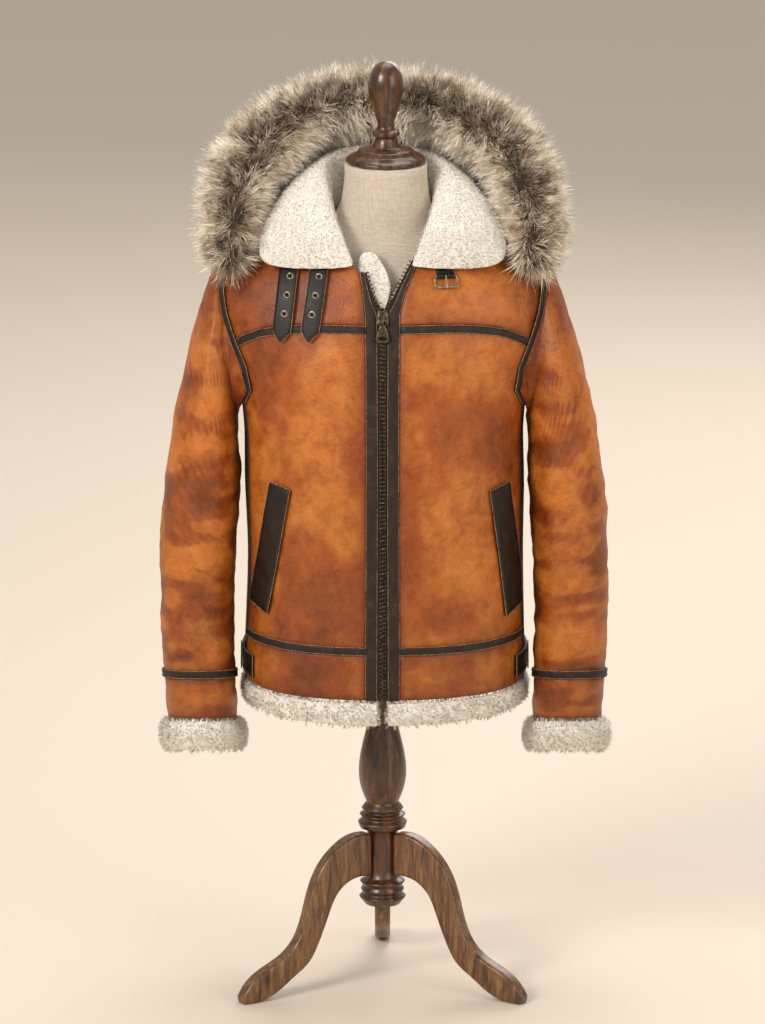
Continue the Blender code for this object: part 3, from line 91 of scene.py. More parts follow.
def linear(code):
    """Linear colour of an sRGB hex code."""
    channels = [int(code[i:i + 2], 16) / 255 for i in (1, 3, 5)]
    return tuple(c / 12.92 if c <= 0.04045 else ((c + 0.055) / 1.055) ** 2.4 for c in channels) + (1.0,)


def feed(tree, node, inputs):
    """Sets inputs of a node, each by another node's output or as a plain value."""
    for name, value in dict(inputs).items():
        socket = node.inputs[name]
        if isinstance(value, bpy.types.NodeSocket):
            tree.links.new(value, socket)
        else:
            socket.default_value = value


def add(tree, kind, inputs=(), **settings):
    """New node with its settings and its inputs."""
    node = tree.nodes.new(kind)
    for name, value in settings.items():
        setattr(node, name, value)
    feed(tree, node, inputs)
    return node


def ramp(tree, value, *stops):
    """Colour that a value picks between stops, each a mark with a hex code or a grey."""
    node = add(tree, "ShaderNodeValToRGB", {"Fac": value})
    elements = node.color_ramp.elements
    while len(elements) < len(stops):
        elements.new(0.5)
    for element, (mark, tone) in zip(elements, stops):
        element.position = mark
        element.color = linear(tone) if isinstance(tone, str) else (tone, tone, tone, 1.0)
    return node.outputs["Color"]


def spots(tree, place, scale, detail=2.0, roughness=0.5, distortion=0.0):
    """Soft random spots, as a value."""
    return add(tree, "ShaderNodeTexNoise", {"Vector": place, "Scale": scale, "Detail": detail,
                                            "Roughness": roughness, "Distortion": distortion}).outputs["Fac"]


def ranged(tree, value, start, end, low, high):
    """Value moved from one range to another."""
    return add(tree, "ShaderNodeMapRange", {"Value": value, "From Min": start, "From Max": end,
                                            "To Min": low, "To Max": high}).outputs["Result"]


def blend(tree, share, first, second, kind="MIX"):
    """Mix of two colours."""
    return add(tree, "ShaderNodeMix", {0: share, 6: first, 7: second}, data_type="RGBA",
               blend_type=kind).outputs[2]


def shaded(tree, share, colour, shade):
    """Colour darkened by another."""
    return blend(tree, share, colour, shade, "MULTIPLY")


def calc(tree, first, second, operation="ADD", clamp=False):
    """Sum of two values, or the outcome of another operation."""
    return add(tree, "ShaderNodeMath", {0: first, 1: second}, operation=operation,
               use_clamp=clamp).outputs["Value"]


def cells(tree, place, scale):
    """Rounded cells, as the distance from their middles."""
    return add(tree, "ShaderNodeTexVoronoi", {"Vector": place, "Scale": scale},
               feature="SMOOTH_F1").outputs["Distance"]


def object_place(tree):
    return add(tree, "ShaderNodeTexCoord").outputs["Object"]


def carried(tree, name, output="Fac"):
    """Value or vector that the mesh carries."""
    return add(tree, "ShaderNodeAttribute", attribute_name=name).outputs[output]


def new_material(name):
    """Material with a Principled shader, and its tree."""
    made = bpy.data.materials.new(name)
    made.use_nodes = True
    return made, made.node_tree


def bumped(tree, height, strength, distance):
    """Small relief, its height by a value."""
    bump = add(tree, "ShaderNodeBump", {"Height": height, "Strength": strength, "Distance": distance})
    feed(tree, tree.nodes[PRINCIPLED], {"Normal": bump.outputs["Normal"]})


def finish(made, colour, roughness, others=()):
    """Gives a material its colour, its roughness and whatever else its shader needs."""
    feed(made.node_tree, made.node_tree.nodes[PRINCIPLED],
         {"Base Color": colour, "Roughness": roughness, **dict(others)})
    return made


def linked(name, data, group=None):
    """New object, in the scene or in a group of its own."""
    made = bpy.data.objects.new(name, data)
    (group or bpy.context.scene.collection).objects.link(made)
    return made


def build_studio():
    scene = bpy.context.scene
    lens = bpy.data.cameras.new("camera")
    lens.sensor_fit = "VERTICAL"
    lens.sensor_height = SENSOR_MM
    lens.lens = CAMERA_LENS_MM
    lens.clip_end = FAR_CLIP
    scene.camera = linked("camera", lens)
    scene.camera.location = CAMERA_PLACE
    scene.camera.rotation_euler = (CAMERA_TILT, 0, 0)

    scene.world = bpy.data.worlds.new("studio")
    scene.world.use_nodes = True
    tree = scene.world.node_tree
    feed(tree, tree.nodes["Background"], {"Color": linear(WORLD_COLOUR), "Strength": WORLD_STRENGTH})
    scene.view_settings.view_transform = "Standard"

    for name, place, size, watts, colour in LAMPS:
        lamp = bpy.data.lights.new(name, "AREA")
        lamp.size = size
        lamp.energy = watts
        lamp.color = linear(colour)[:3]
        shown = linked(name, lamp)
        shown.location = place
        shown.rotation_euler = (LIGHT_TARGET - Vector(place)).to_track_quat("-Z", "Y").to_euler()

    mesh = bpy.data.meshes.new("floor")
    corners = [(x * FLOOR_REACH, y * FLOOR_REACH, 0) for x, y in ((-1, -1), (1, -1), (1, 1), (-1, 1))]
    mesh.from_pydata(corners, [], [(0, 1, 2, 3)])
    paint, _ = new_material("matt_floor_paint")
    mesh.materials.append(finish(paint, linear(FLOOR_COLOUR), FLOOR_ROUGHNESS))
    linked("floor", mesh)


# ---- materials
def waxed_hide():
    """Shearling hide, aniline dyed and waxed by hand: uneven cognac, darker rubbed patches, painted shade in
    its creases, soft sheen.
    """
    made, tree = new_material("waxed_shearling_hide")
    place = object_place(tree)
    # Dye takes unevenly in clouds of 80-120 mm, and again in blotches of 15-25 mm.
    clouds = spots(tree, place, 9.0, 5.0, 0.62)
    blotches = spots(tree, place, 46.0, 6.0, 0.7, 0.4)
    pores = spots(tree, place, 520.0, 3.0, 0.6)
    base = ramp(tree, clouds, (0.28, "#874314"), (0.44, "#B86322"), (0.58, "#CE762B"), (0.76, "#E18C3C"))
    stain = ramp(tree, blotches, (0.34, "#7C4116"), (0.50, "#C87526"), (0.68, "#E59B4B"))
    dyed = blend(tree, 0.42, base, stain)
    specks = ramp(tree, pores, (0.34, 0.62), (0.50, 1.0))
    grained = shaded(tree, 0.5, dyed, specks)
    # Creases hold the dark wax and are darkened further by painted shade that follows the relief, and the
    # ridges between them are rubbed pale.
    rubbed = ramp(tree, carried(tree, "crease"), (0.0, "#6E3312"), (0.40, "#C4997B"), (0.55, 0.82),
                  (1.0, "#FFF3E6"))
    # Dyed grain with the crease colour laid over it: dark wax and painted shade in the creases.
    worn = shaded(tree, 0.75, grained, rubbed)
    shade = ramp(tree, carried(tree, "seam"), (0.0, 1.0), (1.0, "#A8795A"))
    hide = shaded(tree, 0.75, worn, shade)
    # Lower down, towards the hem and cuffs, the hide is darker.
    height_of = add(tree, "ShaderNodeSeparateXYZ", {"Vector": place}).outputs["Z"]
    hide = shaded(tree, 1.0, hide, ranged(tree, height_of, 0.42, 0.78, 0.80, 1.0))
    # Grain cells are about 1.5 mm, drawn at 2.5 mm so that they show.
    folds = spots(tree, place, 95.0, 5.0, 0.65)
    bumped(tree, calc(tree, cells(tree, place, 400.0), folds), 0.55, 0.0007)
    return finish(made, hide, ranged(tree, blotches, 0.3, 0.7, 0.37, 0.56), {"Specular IOR Level": 0.42})


def dark_leather(name, tones, polish):
    """Full-grain cowhide, dyed dark brown and lightly polished: fine grain, rubbed paler in places."""
    made, tree = new_material(name)
    place = object_place(tree)
    clouds = spots(tree, place, 60.0, 5.0, 0.65)
    base = ramp(tree, clouds, *zip((0.30, 0.55, 0.80), tones))
    bumped(tree, calc(tree, cells(tree, place, 620.0), clouds), 0.5, 0.0005)
    roughness = ranged(tree, clouds, 0.3, 0.7, polish, polish + 0.19)
    return finish(made, base, roughness, {"Specular IOR Level": 0.36})


def cut_edge():
    """Raw cut edge of a hide: pale, fibrous and matt."""
    made, tree = new_material("raw_hide_edge")
    fibres = spots(tree, object_place(tree), 300.0, 3.0)
    bumped(tree, fibres, 0.4, 0.0003)
    return finish(made, ramp(tree, fibres, (0.35, "#6F533D"), (0.65, "#AE9273")), 0.85)


def lambswool_ground():
    """Sheared lambswool seen into its depth: warm cream with soft clumps of 4-6 mm, quite matt."""
    made, tree = new_material("sheared_lambswool")
    place = object_place(tree)
    clouds = spots(tree, place, 30.0, 5.0, 0.7)
    bumped(tree, calc(tree, cells(tree, place, 210.0), clouds), 0.25, 0.001)
    base = ramp(tree, clouds, (0.30, "#DFD7CA"), (0.55, "#E9E3D8"), (0.75, "#F0EBE3"))
    return finish(made, base, 0.95, {"Sheen Weight": 0.3})


def vector(tree, operation, inputs):
    """Outcome of a sum on vectors."""
    return add(tree, "ShaderNodeVectorMath", inputs, operation=operation).outputs["Vector"]


def soft_normal(tree, share):
    """Lets single hairs catch the light as the whole pile does, by the way that the skin below faces."""
    own = add(tree, "ShaderNodeNewGeometry").outputs["Normal"]
    facing = add(tree, "ShaderNodeMix", {0: share, 4: own, 5: carried(tree, "nap", "Vector")},
                 data_type="VECTOR")
    return vector(tree, "NORMALIZE", {0: facing.outputs[1]})


def hair(name, dark, pale, tones, roughness, sheen, softness):
    """Hairs whose colours run from root to tip, between a dark and a pale kind by the pile's own map."""
    made, tree = new_material(name)
    where = add(tree, "ShaderNodeUVMap", uv_map="hair").outputs["UV"]
    axes = add(tree, "ShaderNodeSeparateXYZ", {"Vector": where})
    marks = (0.0, 0.45, 1.0)
    low, high = (ramp(tree, axes.outputs["Y"], *zip(marks, codes)) for codes in (dark, pale))
    drift = ranged(tree, spots(tree, object_place(tree), 70.0, 4.0, 0.6), 0.36, 0.64, -0.5, 0.5)
    mingled = calc(tree, carried(tree, "kind"), drift, clamp=True)
    shade = ranged(tree, axes.outputs["X"], 0.0, 1.0, *tones)
    coat = shaded(tree, 1.0, blend(tree, mingled, low, high), shade)
    normal = soft_normal(tree, softness)
    # A hair is so thin that light from behind it shows as well.
    behind = vector(tree, "SCALE", {0: normal, 3: -1.0})
    through = add(tree, "ShaderNodeBsdfTranslucent", {"Color": coat, "Normal": behind})
    both = add(tree, "ShaderNodeAddShader", {0: tree.nodes[PRINCIPLED].outputs["BSDF"],
                                             1: through.outputs["BSDF"]})
    feed(tree, tree.nodes["Material Output"], {"Surface": both.outputs["Shader"]})
    return finish(made, coat, roughness, {"Sheen Weight": sheen, "Normal": normal})


def fur_ground():
    """Dense woolly undercoat below long fur: dark grey-brown, matt."""
    made, tree = new_material("fur_undercoat")
    clouds = spots(tree, object_place(tree), 60.0, 6.0, 0.7)
    bumped(tree, clouds, 0.8, 0.003)
    return finish(made, ramp(tree, clouds, (0.35, "#2B211A"), (0.70, "#6A5A4A")), 1.0)


def woven_tape():
    """Herringbone polyester zip tape, dark brown and matt; its 0.6 mm ribs are drawn at 1.2 mm."""
    made, tree = new_material("woven_zip_tape")
    ribs = add(tree, "ShaderNodeTexWave", {"Vector": object_place(tree), "Scale": 260.0, "Distortion": 1.0},
               bands_direction="Z").outputs["Fac"]
    bumped(tree, ribs, 0.5, 0.0003)
    return finish(made, ramp(tree, ribs, (0.2, "#1E1814"), (0.8, "#3A3029")), 0.9)


def aged_brass(name, low, high, roughness):
    """Brass with an antique finish: dark in its hollows, rubbed bright on its edges."""
    made, tree = new_material(name)
    tarnish = spots(tree, object_place(tree), 260.0, 4.0, 0.6)
    worn = ranged(tree, tarnish, 0.3, 0.7, roughness + 0.14, roughness)
    return finish(made, ramp(tree, tarnish, (0.35, low), (0.65, high)), worn, {"Metallic": 1.0})


def waxed_thread():
    """Waxed polyester sewing thread, dark brown with a slight gloss."""
    made, tree = new_material("waxed_thread")
    twist = spots(tree, object_place(tree), 900.0)
    return finish(made, ramp(tree, twist, (0.3, "#241A15"), (0.7, "#54433A")), 0.5)


def dark_hole():
    """Unlit inside of an eyelet."""
    made, tree = new_material("dark_hole")
    # The painted shadow in the hole is mottled a little.
    shadow_mottle = spots(tree, object_place(tree), 400.0)
    return finish(made, ramp(tree, shadow_mottle, (0.3, "#0C0806"), (0.7, "#1C130E")), 0.9)


def linen_canvas():
    """Unbleached linen canvas, plain weave: threads of 0.5 mm drawn at 1.6 mm, with slubs."""
    made, tree = new_material("linen_canvas")
    place = object_place(tree)
    across, upright = (add(tree, "ShaderNodeTexWave", {"Vector": place, "Scale": 190.0, "Distortion": 1.5,
                                                       "Detail": 2.0, "Detail Scale": 3.0},
                           bands_direction=axis).outputs["Fac"] for axis in "ZX")
    weave = calc(tree, across, upright)
    # Slubs are thick places 15-30 mm long in single threads, both ways of the weave.
    slubs = []
    for scale in ((4.0, 4.0, 55.0), (55.0, 55.0, 4.0)):
        drawn = add(tree, "ShaderNodeMapping", {"Vector": place, "Scale": scale})
        slubs.append(spots(tree, drawn.outputs["Vector"], 16.0, 3.0))
    spread = calc(tree, calc(tree, *slubs), 0.5, "MULTIPLY")
    base = ramp(tree, spread, (0.34, "#BFAF9A"), (0.50, "#D1C4B2"), (0.66, "#DFD4C5"))
    cloth = shaded(tree, 1.0, base, ranged(tree, weave, 0.0, 2.0, 0.84, 1.05))
    bumped(tree, weave, 0.35, 0.0004)
    return finish(made, cloth, 0.92)


def walnut(name, dark, mid, light, roughness):
    """Walnut, turned and shellacked: long dark grain lines 2-4 mm apart, warm brown, half gloss."""
    made, tree = new_material(name)
    grain = add(tree, "ShaderNodeMapping", {"Vector": object_place(tree), "Scale": (9.0, 9.0, 1.0)})
    grain = grain.outputs["Vector"]
    figure = spots(tree, grain, 14.0, 7.0, 0.62, 0.9)
    pores = spots(tree, grain, 120.0, 3.0)
    base = ramp(tree, figure, (0.32, dark), (0.50, mid), (0.70, light))
    wood = shaded(tree, 0.6, base, ramp(tree, pores, (0.36, 0.45), (0.52, 1.0)))
    bumped(tree, pores, 0.12, 0.0003)
    return finish(made, wood, roughness, {"Coat Weight": 0.35, "Coat Roughness": 0.22})


# ---- shapes from the frame
def from_body(point):
    """Way out from the middle of the coat's body; over the shoulders it turns upwards."""
    return Vector((point.x - STAND_AXIS[0], point.y - STAND_AXIS[1], max(point.z - CHEST_HEIGHT, 0)))


def from_arm(side_name):
    """Function for the way out from the middle line of an arm."""
    low_box, high_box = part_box(f"sleeve_{side_name}")
    cuff_low, cuff_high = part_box(f"cuff_wool_{side_name}")
    foot = (cuff_low + cuff_high) / 2
    head = Vector(((low_box.x + high_box.x) / 2, (low_box.y + high_box.y) / 2, CHEST_HEIGHT))

    def away(point):
        share = min(max((point.z - foot.z) / (head.z - foot.z), 0), 1)
        middle = foot.lerp(head, share)
        return Vector((point.x - middle.x, point.y - middle.y, max(point.z - head.z, 0)))
    return away


def unit(rows):
    """Vectors brought to length 1."""
    return rows / np.maximum(np.linalg.norm(rows, axis=1), TINY)[:, None]


def settled(work, name):
    """Plain mesh of what is being modelled."""
    mesh = bpy.data.meshes.new(name)
    work.to_mesh(mesh)
    work.free()
    return mesh


def evaluated(holder):
    """Plain mesh that an object's modifiers make; the object goes."""
    graph = bpy.context.evaluated_depsgraph_get()
    made = bpy.data.meshes.new_from_object(holder.evaluated_get(graph))
    bpy.data.objects.remove(holder)
    return made


def welded(name):
    """Mesh of a CAD node with its loose triangles joined."""
    work = bmesh.new()
    work.from_mesh(NODES[name].data)
    bmesh.ops.remove_doubles(work, verts=work.verts, dist=1e-6)
    work.normal_update()
    return work


def outlines(name, away, facing=0.45):
    """Closed outlines of a thin piece's outer face: for each, its points, inward directions and normals."""
    work = welded(name)
    outer = {}                 # a dict and not a set, so that the order is the same each run
    for face in work.faces:
        out = away(face.calc_center_median())
        if out.length > 0 and face.normal.dot(out.normalized()) > facing:
            outer[face] = True
    nexts = {}
    for face in outer:
        for loop in face.loops:
            others = [f for f in loop.edge.link_faces if f is not face]
            if not others or others[0] not in outer:
                nexts[loop.vert] = (loop.link_loop_next.vert, face)
    loops = []
    while nexts:
        start = next(iter(nexts))
        here, line = start, []
        while here in nexts:
            after, face = nexts.pop(here)
            line.append((here.co.copy(), face.normal.copy()))
            here = after
        if len(line) > 2:
            loops.append(line)
    work.free()
    found = []
    for line in loops:
        points = np.array([p for p, _ in line])
        normals = np.array([n for _, n in line])
        along = np.roll(points, -1, axis=0) - points
        normals = unit(normals + np.roll(normals, 1, axis=0))
        ahead, behind = unit(along), unit(np.roll(along, 1, axis=0))
        inward = unit(np.cross(normals, ahead + behind))
        turn = np.degrees(np.arccos(np.clip((ahead * behind).sum(1), -1, 1)))
        found.append((points, inward, normals, turn))
    return found


def evened(points, spacing, closed=False):
    """Rows of a line at an even spacing; their first three columns are the place."""
    if closed:
        points = np.vstack([points, points[:1]])
    run = np.concatenate([[0], np.cumsum(np.linalg.norm(np.diff(points[:, :3], axis=0), axis=1))])
    count = max(int(round(run[-1] / spacing)), 2)
    where = np.linspace(0, run[-1], count + 1)
    return np.stack([np.interp(where, run, points[:, k]) for k in range(points.shape[1])], axis=1)


def sides_of(name, away, shortest=0.015, corner=35.0, inset=0.0, lift=0.0):
    """Sides of a thin piece's outer face between its corners, set in from the edge and lifted off it."""
    sides = []
    for points, inward, normals, turn in outlines(name, away):
        placed = points + inset * inward + lift * normals
        rows = np.hstack([placed, normals])
        corners = [i for i, angle in enumerate(turn) if angle > corner]
        if not corners:
            sides.append((rows, True))
            continue
        rows = np.roll(rows, -corners[0], axis=0)
        marks = [i - corners[0] for i in corners] + [len(rows)]
        rows = np.vstack([rows, rows[:1]])
        for a, b in zip(marks, marks[1:]):
            side = rows[a:b + 1]
            length = np.linalg.norm(np.diff(side[:, :3], axis=0), axis=1).sum()
            if length > shortest:
                sides.append((side, False))
    return sides


FLAT_ENOUGH, SQUARE_ENOUGH = 28, 65     # degrees within which two triangles make one quad


def finer(name, levels=2, sharp=42.0, hold=1.0):
    """Rounder copy of a CAD node's mesh: quads, subdivided, with its sharp edges held."""
    work = welded(name)
    crease = work.edges.layers.float.new("crease_edge")
    for edge in work.edges:
        if len(edge.link_faces) == 2 and edge.calc_face_angle(0) > math.radians(sharp):
            edge[crease] = hold
    bmesh.ops.join_triangles(work, faces=work.faces, angle_face_threshold=math.radians(FLAT_ENOUGH),
                             angle_shape_threshold=math.radians(SQUARE_ENOUGH))
    holder = linked(name + "_finer", settled(work, name + "_finer"))
    smooth = holder.modifiers.new("Subdivision", "SUBSURF")
    smooth.levels = smooth.render_levels = levels
    made = evaluated(holder)
    made.materials.clear()
    return made


def arrays(mesh):
    """Points and normals of a mesh."""
    points, normals = np.zeros((2, len(mesh.vertices) * 3))
    mesh.vertices.foreach_get("co", points)
    mesh.vertex_normals.foreach_get("vector", normals)
    return points.reshape(-1, 3), normals.reshape(-1, 3)


def put_points(mesh, points):
    mesh.vertices.foreach_set("co", np.asarray(points, float).ravel())
    mesh.update()


def put_attribute(mesh, name, values):
    """Stores a number or a vector for each point."""
    values = np.asarray(values, np.float32)
    kind, field = ("FLOAT", "value") if values.ndim == 1 else ("FLOAT_VECTOR", "vector")
    layer = mesh.attributes.get(name) or mesh.attributes.new(name, kind, "POINT")
    layer.data.foreach_set(field, values.ravel())


def waves(points, sizes, seed):
    """Smooth random heights from -1 to 1; sizes is their length, or one length for each axis."""
    scaled = points / np.asarray(sizes) + seed * 7.31
    return np.array([noise.noise(Vector(p)) for p in scaled])


RIM_STEP = 0.002


def outward_share(points, normals, away):
    """1 on a piece's outer face, 0 on its inner face."""
    aims = unit(np.array([away(Vector(p)) for p in points]))
    return np.clip(((aims * normals).sum(1) - 0.1) / 0.4, 0, 1)


def show(name, mesh, materials, node=None, body=ROOT):
    """Puts a finished mesh in the scene on its body, in the place of a CAD node if it stands for one."""
    mesh.name = name
    for material in materials:
        mesh.materials.append(material)
    mesh.shade_smooth()
    made = linked(name, mesh)
    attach(made, body)
    if node:
        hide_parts(node)
    return made


def seam_distance(points, name, away):
    """Distance of points from the outline of a piece's outer face, and the run along it."""
    rims = [evened(rim, RIM_STEP, closed=True) for rim, _, _, _ in outlines(name, away)]
    runs = np.concatenate([np.arange(len(rim)) * RIM_STEP for rim in rims])
    tree = kdtree.KDTree(len(runs))
    for i, place in enumerate(np.vstack(rims)):
        tree.insert(place, i)
    tree.balance()
    near = [tree.find(p) for p in points]
    return np.array([n[2] for n in near]), runs[[n[1] for n in near]]


# ---- hide pieces
# Size of the waves along each axis, and their height.
PANEL_WAVES = (((0.11, 0.11, 0.15), 0.0011), ((0.038, 0.038, 0.05), 0.00045),
               ((0.014, 0.014, 0.017), 0.00018))
SLEEVE_WAVES = (((0.10, 0.10, 0.045), 0.0014), ((0.05, 0.05, 0.016), 0.0011), ((0.02, 0.02, 0.008), 0.0004))
CREASE_RANGE = 0.0035          # of relief, from the darkest crease to the palest ridge
SEAM_DIP, SEAM_ROLL = 0.0009, 0.003
PUCKER_DEEP, PUCKER_LONG, PUCKER_WIDE = 0.00035, 0.011, 0.008
SEAM_CALM, SEAM_SHADE = 0.02, 0.012


def inner_faces(mesh, away, slot_index, facing):
    """Gives the wool side of a hide its own material; facing is how squarely a face must look inwards."""
    for face in mesh.polygons:
        out = away(face.center)
        if out.length > 0 and face.normal.dot(out.normalized()) < -facing:
            face.material_index = slot_index


def hide_piece(name, away, paints, seed, wave_table=PANEL_WAVES, facing=0.2):
    """Panel of shearling: soft waves, edges rolled in at the seams with small puckers, wool inside."""
    mesh = finer(name)
    points, normals = arrays(mesh)
    outer = outward_share(points, normals, away)
    distance, run = seam_distance(points, name, away)
    relief = np.zeros(len(points))
    for k, (sizes, height) in enumerate(wave_table):
        relief += height * 2 * waves(points, sizes, seed + k)
    relief *= np.clip(distance / SEAM_CALM, 0, 1)
    pucker = PUCKER_DEEP * np.sin(2 * math.pi * run / PUCKER_LONG) * np.exp(-distance / PUCKER_WIDE)
    roll = SEAM_DIP * np.exp(-distance / SEAM_ROLL)
    moved = relief + pucker - roll
    put_points(mesh, points + normals * (outer * moved)[:, None])
    # The relief also sets the hide's colour: dark wax and painted shade in its creases.
    put_attribute(mesh, "crease", np.clip(0.5 + relief / CREASE_RANGE, 0, 1))
    put_attribute(mesh, "seam", np.exp(-distance / SEAM_SHADE))
    inner_faces(mesh, away, 1, facing)
    show(name + "_hide", mesh, paints, name)


STRIP_CROWN, STRIP_SHOULDER, STRIP_LUMPS = 0.0006, 0.004, 0.0002


def leather_strip(name, away, paint):
    """Narrow piece of dark leather, crowned along its middle."""
    mesh = finer(name)
    points, normals = arrays(mesh)
    outer = outward_share(points, normals, away)
    distance, _ = seam_distance(points, name, away)
    rise = STRIP_CROWN * np.clip(distance / STRIP_SHOULDER, 0, 1)
    rise = rise + STRIP_LUMPS * waves(points, 0.012, 4.0)
    put_points(mesh, points + normals * (outer * rise)[:, None])
    show(name + "_leather", mesh, [paint], name)


# ---- what repeats along a line
PILL_PROFILE = ((-0.5, 0.35), (-0.3, 1.0), (0.3, 1.0), (0.5, 0.35))     # share of length, of thickness


def bridge(work, rings, ends):
    """Faces between rings of points, and over the first and the last ring."""
    corners = len(rings[0])
    for a, b in zip(rings, rings[1:]):
        for k in range(corners):
            work.faces.new((a[k], a[(k + 1) % corners], b[(k + 1) % corners], b[k]))
    if ends:
        work.faces.new(rings[0][::-1])
        work.faces.new(rings[-1])
    bmesh.ops.recalc_face_normals(work, faces=work.faces)


def pill(length, width, thick):
    """One stitch: a small rounded bar along X that stands on Z = 0."""
    work = bmesh.new()
    rings = []
    for x, share in PILL_PROFILE:
        angles = [math.radians(90 * turn + 45) for turn in range(4)]
        rings.append([work.verts.new((x * length, share * width / 2 * math.cos(angle),
                                      share * thick / 2 * math.sin(angle))) for angle in angles])
    bridge(work, rings, ends=True)
    return settled(work, "pill")


def points_mesh(name, places, alongs, ups):
    """Points, each with a line's direction and a face's normal."""
    mesh = bpy.data.meshes.new(name)
    mesh.from_pydata([tuple(p) for p in places], [], [])
    put_attribute(mesh, "along", alongs)
    put_attribute(mesh, "up", ups)
    return mesh


def frames_mesh(name, sides, pitch, phase):
    """Points a pitch apart on lines."""
    places, alongs, ups = [], [], []
    for rows, closed in sides:
        even = evened(rows, pitch, closed)
        middle = even[:-1] * (1 - phase) + even[1:] * phase
        places.extend(middle[:, :3])
        alongs.extend(unit(np.diff(even[:, :3], axis=0)))
        ups.extend(middle[:, 3:6])
    return points_mesh(name, places, alongs, ups)


def geometry_tree(name, inputs):
    """Geometry Nodes tree whose inputs are labels with their kinds: the keys of those, and their outputs."""
    tree = bpy.data.node_groups.new(name, "GeometryNodeTree")
    new_socket = tree.interface.new_socket
    keys = {label: new_socket(label, in_out="INPUT", socket_type="NodeSocket" + kind).identifier
            for label, kind in inputs.items()}
    new_socket("Geometry", in_out="OUTPUT", socket_type="NodeSocketGeometry")
    return tree, keys, add(tree, "NodeGroupInput").outputs


def stored(tree, name, kind="FLOAT_VECTOR"):
    """Attribute of the mesh that a geometry tree runs on."""
    return add(tree, "GeometryNodeInputNamedAttribute", {"Name": name}, data_type=kind).outputs["Attribute"]


def set_on_points(tree, given, inputs):
    """Shapes on points, made real and painted, as what the tree gives."""
    on_points = add(tree, "GeometryNodeInstanceOnPoints", inputs)
    real = add(tree, "GeometryNodeRealizeInstances", {"Geometry": on_points.outputs["Instances"]})
    painted = add(tree, "GeometryNodeSetMaterial",
                  {"Geometry": real.outputs["Geometry"], "Material": given["Finish"]})
    add(tree, "NodeGroupOutput", {0: painted.outputs["Geometry"]})


def repeat_tree():
    """Geometry Nodes: a shape at each point, turned to the point's line and face."""
    tree, keys, given = geometry_tree(
        "repeat_on_points", {"Places": "Geometry", "Shape": "Object", "Finish": "Material"})
    turned = add(tree, "FunctionNodeAxesToRotation", primary_axis="X", secondary_axis="Z",
                 inputs={"Primary Axis": stored(tree, "along"), "Secondary Axis": stored(tree, "up")})
    shape = add(tree, "GeometryNodeObjectInfo", {"Object": given["Shape"]})
    set_on_points(tree, given, {"Points": given["Places"], "Instance": shape.outputs["Geometry"],
                                "Rotation": turned.outputs["Rotation"]})
    return tree, keys


def grow(name, mesh, grower, values):
    """Runs a tree on a mesh and returns the plain mesh that it makes."""
    tree, keys = grower
    holder = linked(name + "_holder", mesh)
    modifier = holder.modifiers.new("Nodes", "NODES")
    modifier.node_group = tree
    for label, value in values.items():
        modifier[keys[label]] = value
    return evaluated(holder)


def repeated(name, places, shape, grower, material):
    """A shape repeated on points, as one piece."""
    lender = linked(name + "_shape", shape)
    made = grow(name, places, grower, {"Shape": lender, "Finish": material})
    bpy.data.objects.remove(lender)
    show(name, made, [])


BEAD_STEP, BEAD_CORNERS = 0.004, 6


def bead(name, sides, radius, material):
    """Thin round bead along lines."""
    work = bmesh.new()
    turns = [2 * math.pi * k / BEAD_CORNERS for k in range(BEAD_CORNERS)]
    for rows, closed in sides:
        even = evened(rows, BEAD_STEP, closed)
        if closed:
            even = even[:-1]
        count = len(even)
        rings = []
        for i in range(count):
            here = even[i, :3]
            ahead = even[(i + 1) % count, :3] if closed or i < count - 1 else here
            behind = even[i - 1, :3] if closed or i > 0 else here
            along, up = ahead - behind, even[i, 3:6]
            along /= max(np.linalg.norm(along), TINY)
            side = np.cross(along, up)
            side /= max(np.linalg.norm(side), TINY)
            up = np.cross(side, along)
            rings.append([work.verts.new(here + radius * (math.cos(turn) * side + math.sin(turn) * up))
                          for turn in turns])
        bridge(work, rings + rings[:1] if closed else rings, ends=not closed)
    show(name, settled(work, name), [material])


# ---- wool and fur
def lock_mesh(name, hairs, length, width, splay, curl, cuts, seed):
    """One lock: thin tapered hairs that leave one spot along Z and bend apart."""
    chance = np.random.default_rng(seed)
    points, faces, maps = [], [], []
    for _ in range(hairs):
        facing = chance.uniform(0, 2 * math.pi)
        aim = chance.uniform(0, 2 * math.pi)
        lean = splay * chance.uniform(0.3, 1.0)
        bend = curl * chance.uniform(-1.0, 1.0)
        reach = length * chance.uniform(0.7, 1.0)
        tone = chance.uniform(0, 1)
        foot = chance.normal(0, 0.25, 2) * splay * length * 0.3
        first = len(points)
        for k in range(cuts + 1):
            t = k / cuts
            out = lean * reach * t ** 1.4
            swing = bend * reach * math.sin(math.pi * 0.9 * t)
            centre = np.array((foot[0] + out * math.cos(aim) - swing * math.sin(aim),
                               foot[1] + out * math.sin(aim) + swing * math.cos(aim),
                               reach * t * math.sqrt(max(1 - (lean * t) ** 2 * 0.5, 0.2))))
            half = width / 2 * (1 - t) ** 0.6
            across = np.array((math.cos(facing), math.sin(facing), 0)) * half
            if k < cuts:
                points += [centre - across, centre + across]
            else:
                points.append(centre)
        for k in range(cuts):
            a = first + 2 * k
            low, high = (tone, k / cuts), (tone, (k + 1) / cuts)
            if k < cuts - 1:
                faces.append((a, a + 1, a + 3, a + 2))
                maps += [low, low, high, high]
            else:
                faces.append((a, a + 1, a + 2))
                maps += [low, low, high]
    mesh = bpy.data.meshes.new(name)
    mesh.from_pydata([tuple(p) for p in points], [], faces)
    layer = mesh.uv_layers.new(name="hair")
    layer.data.foreach_set("uv", [number for corner in maps for number in corner])
    mesh.shade_smooth()
    return mesh


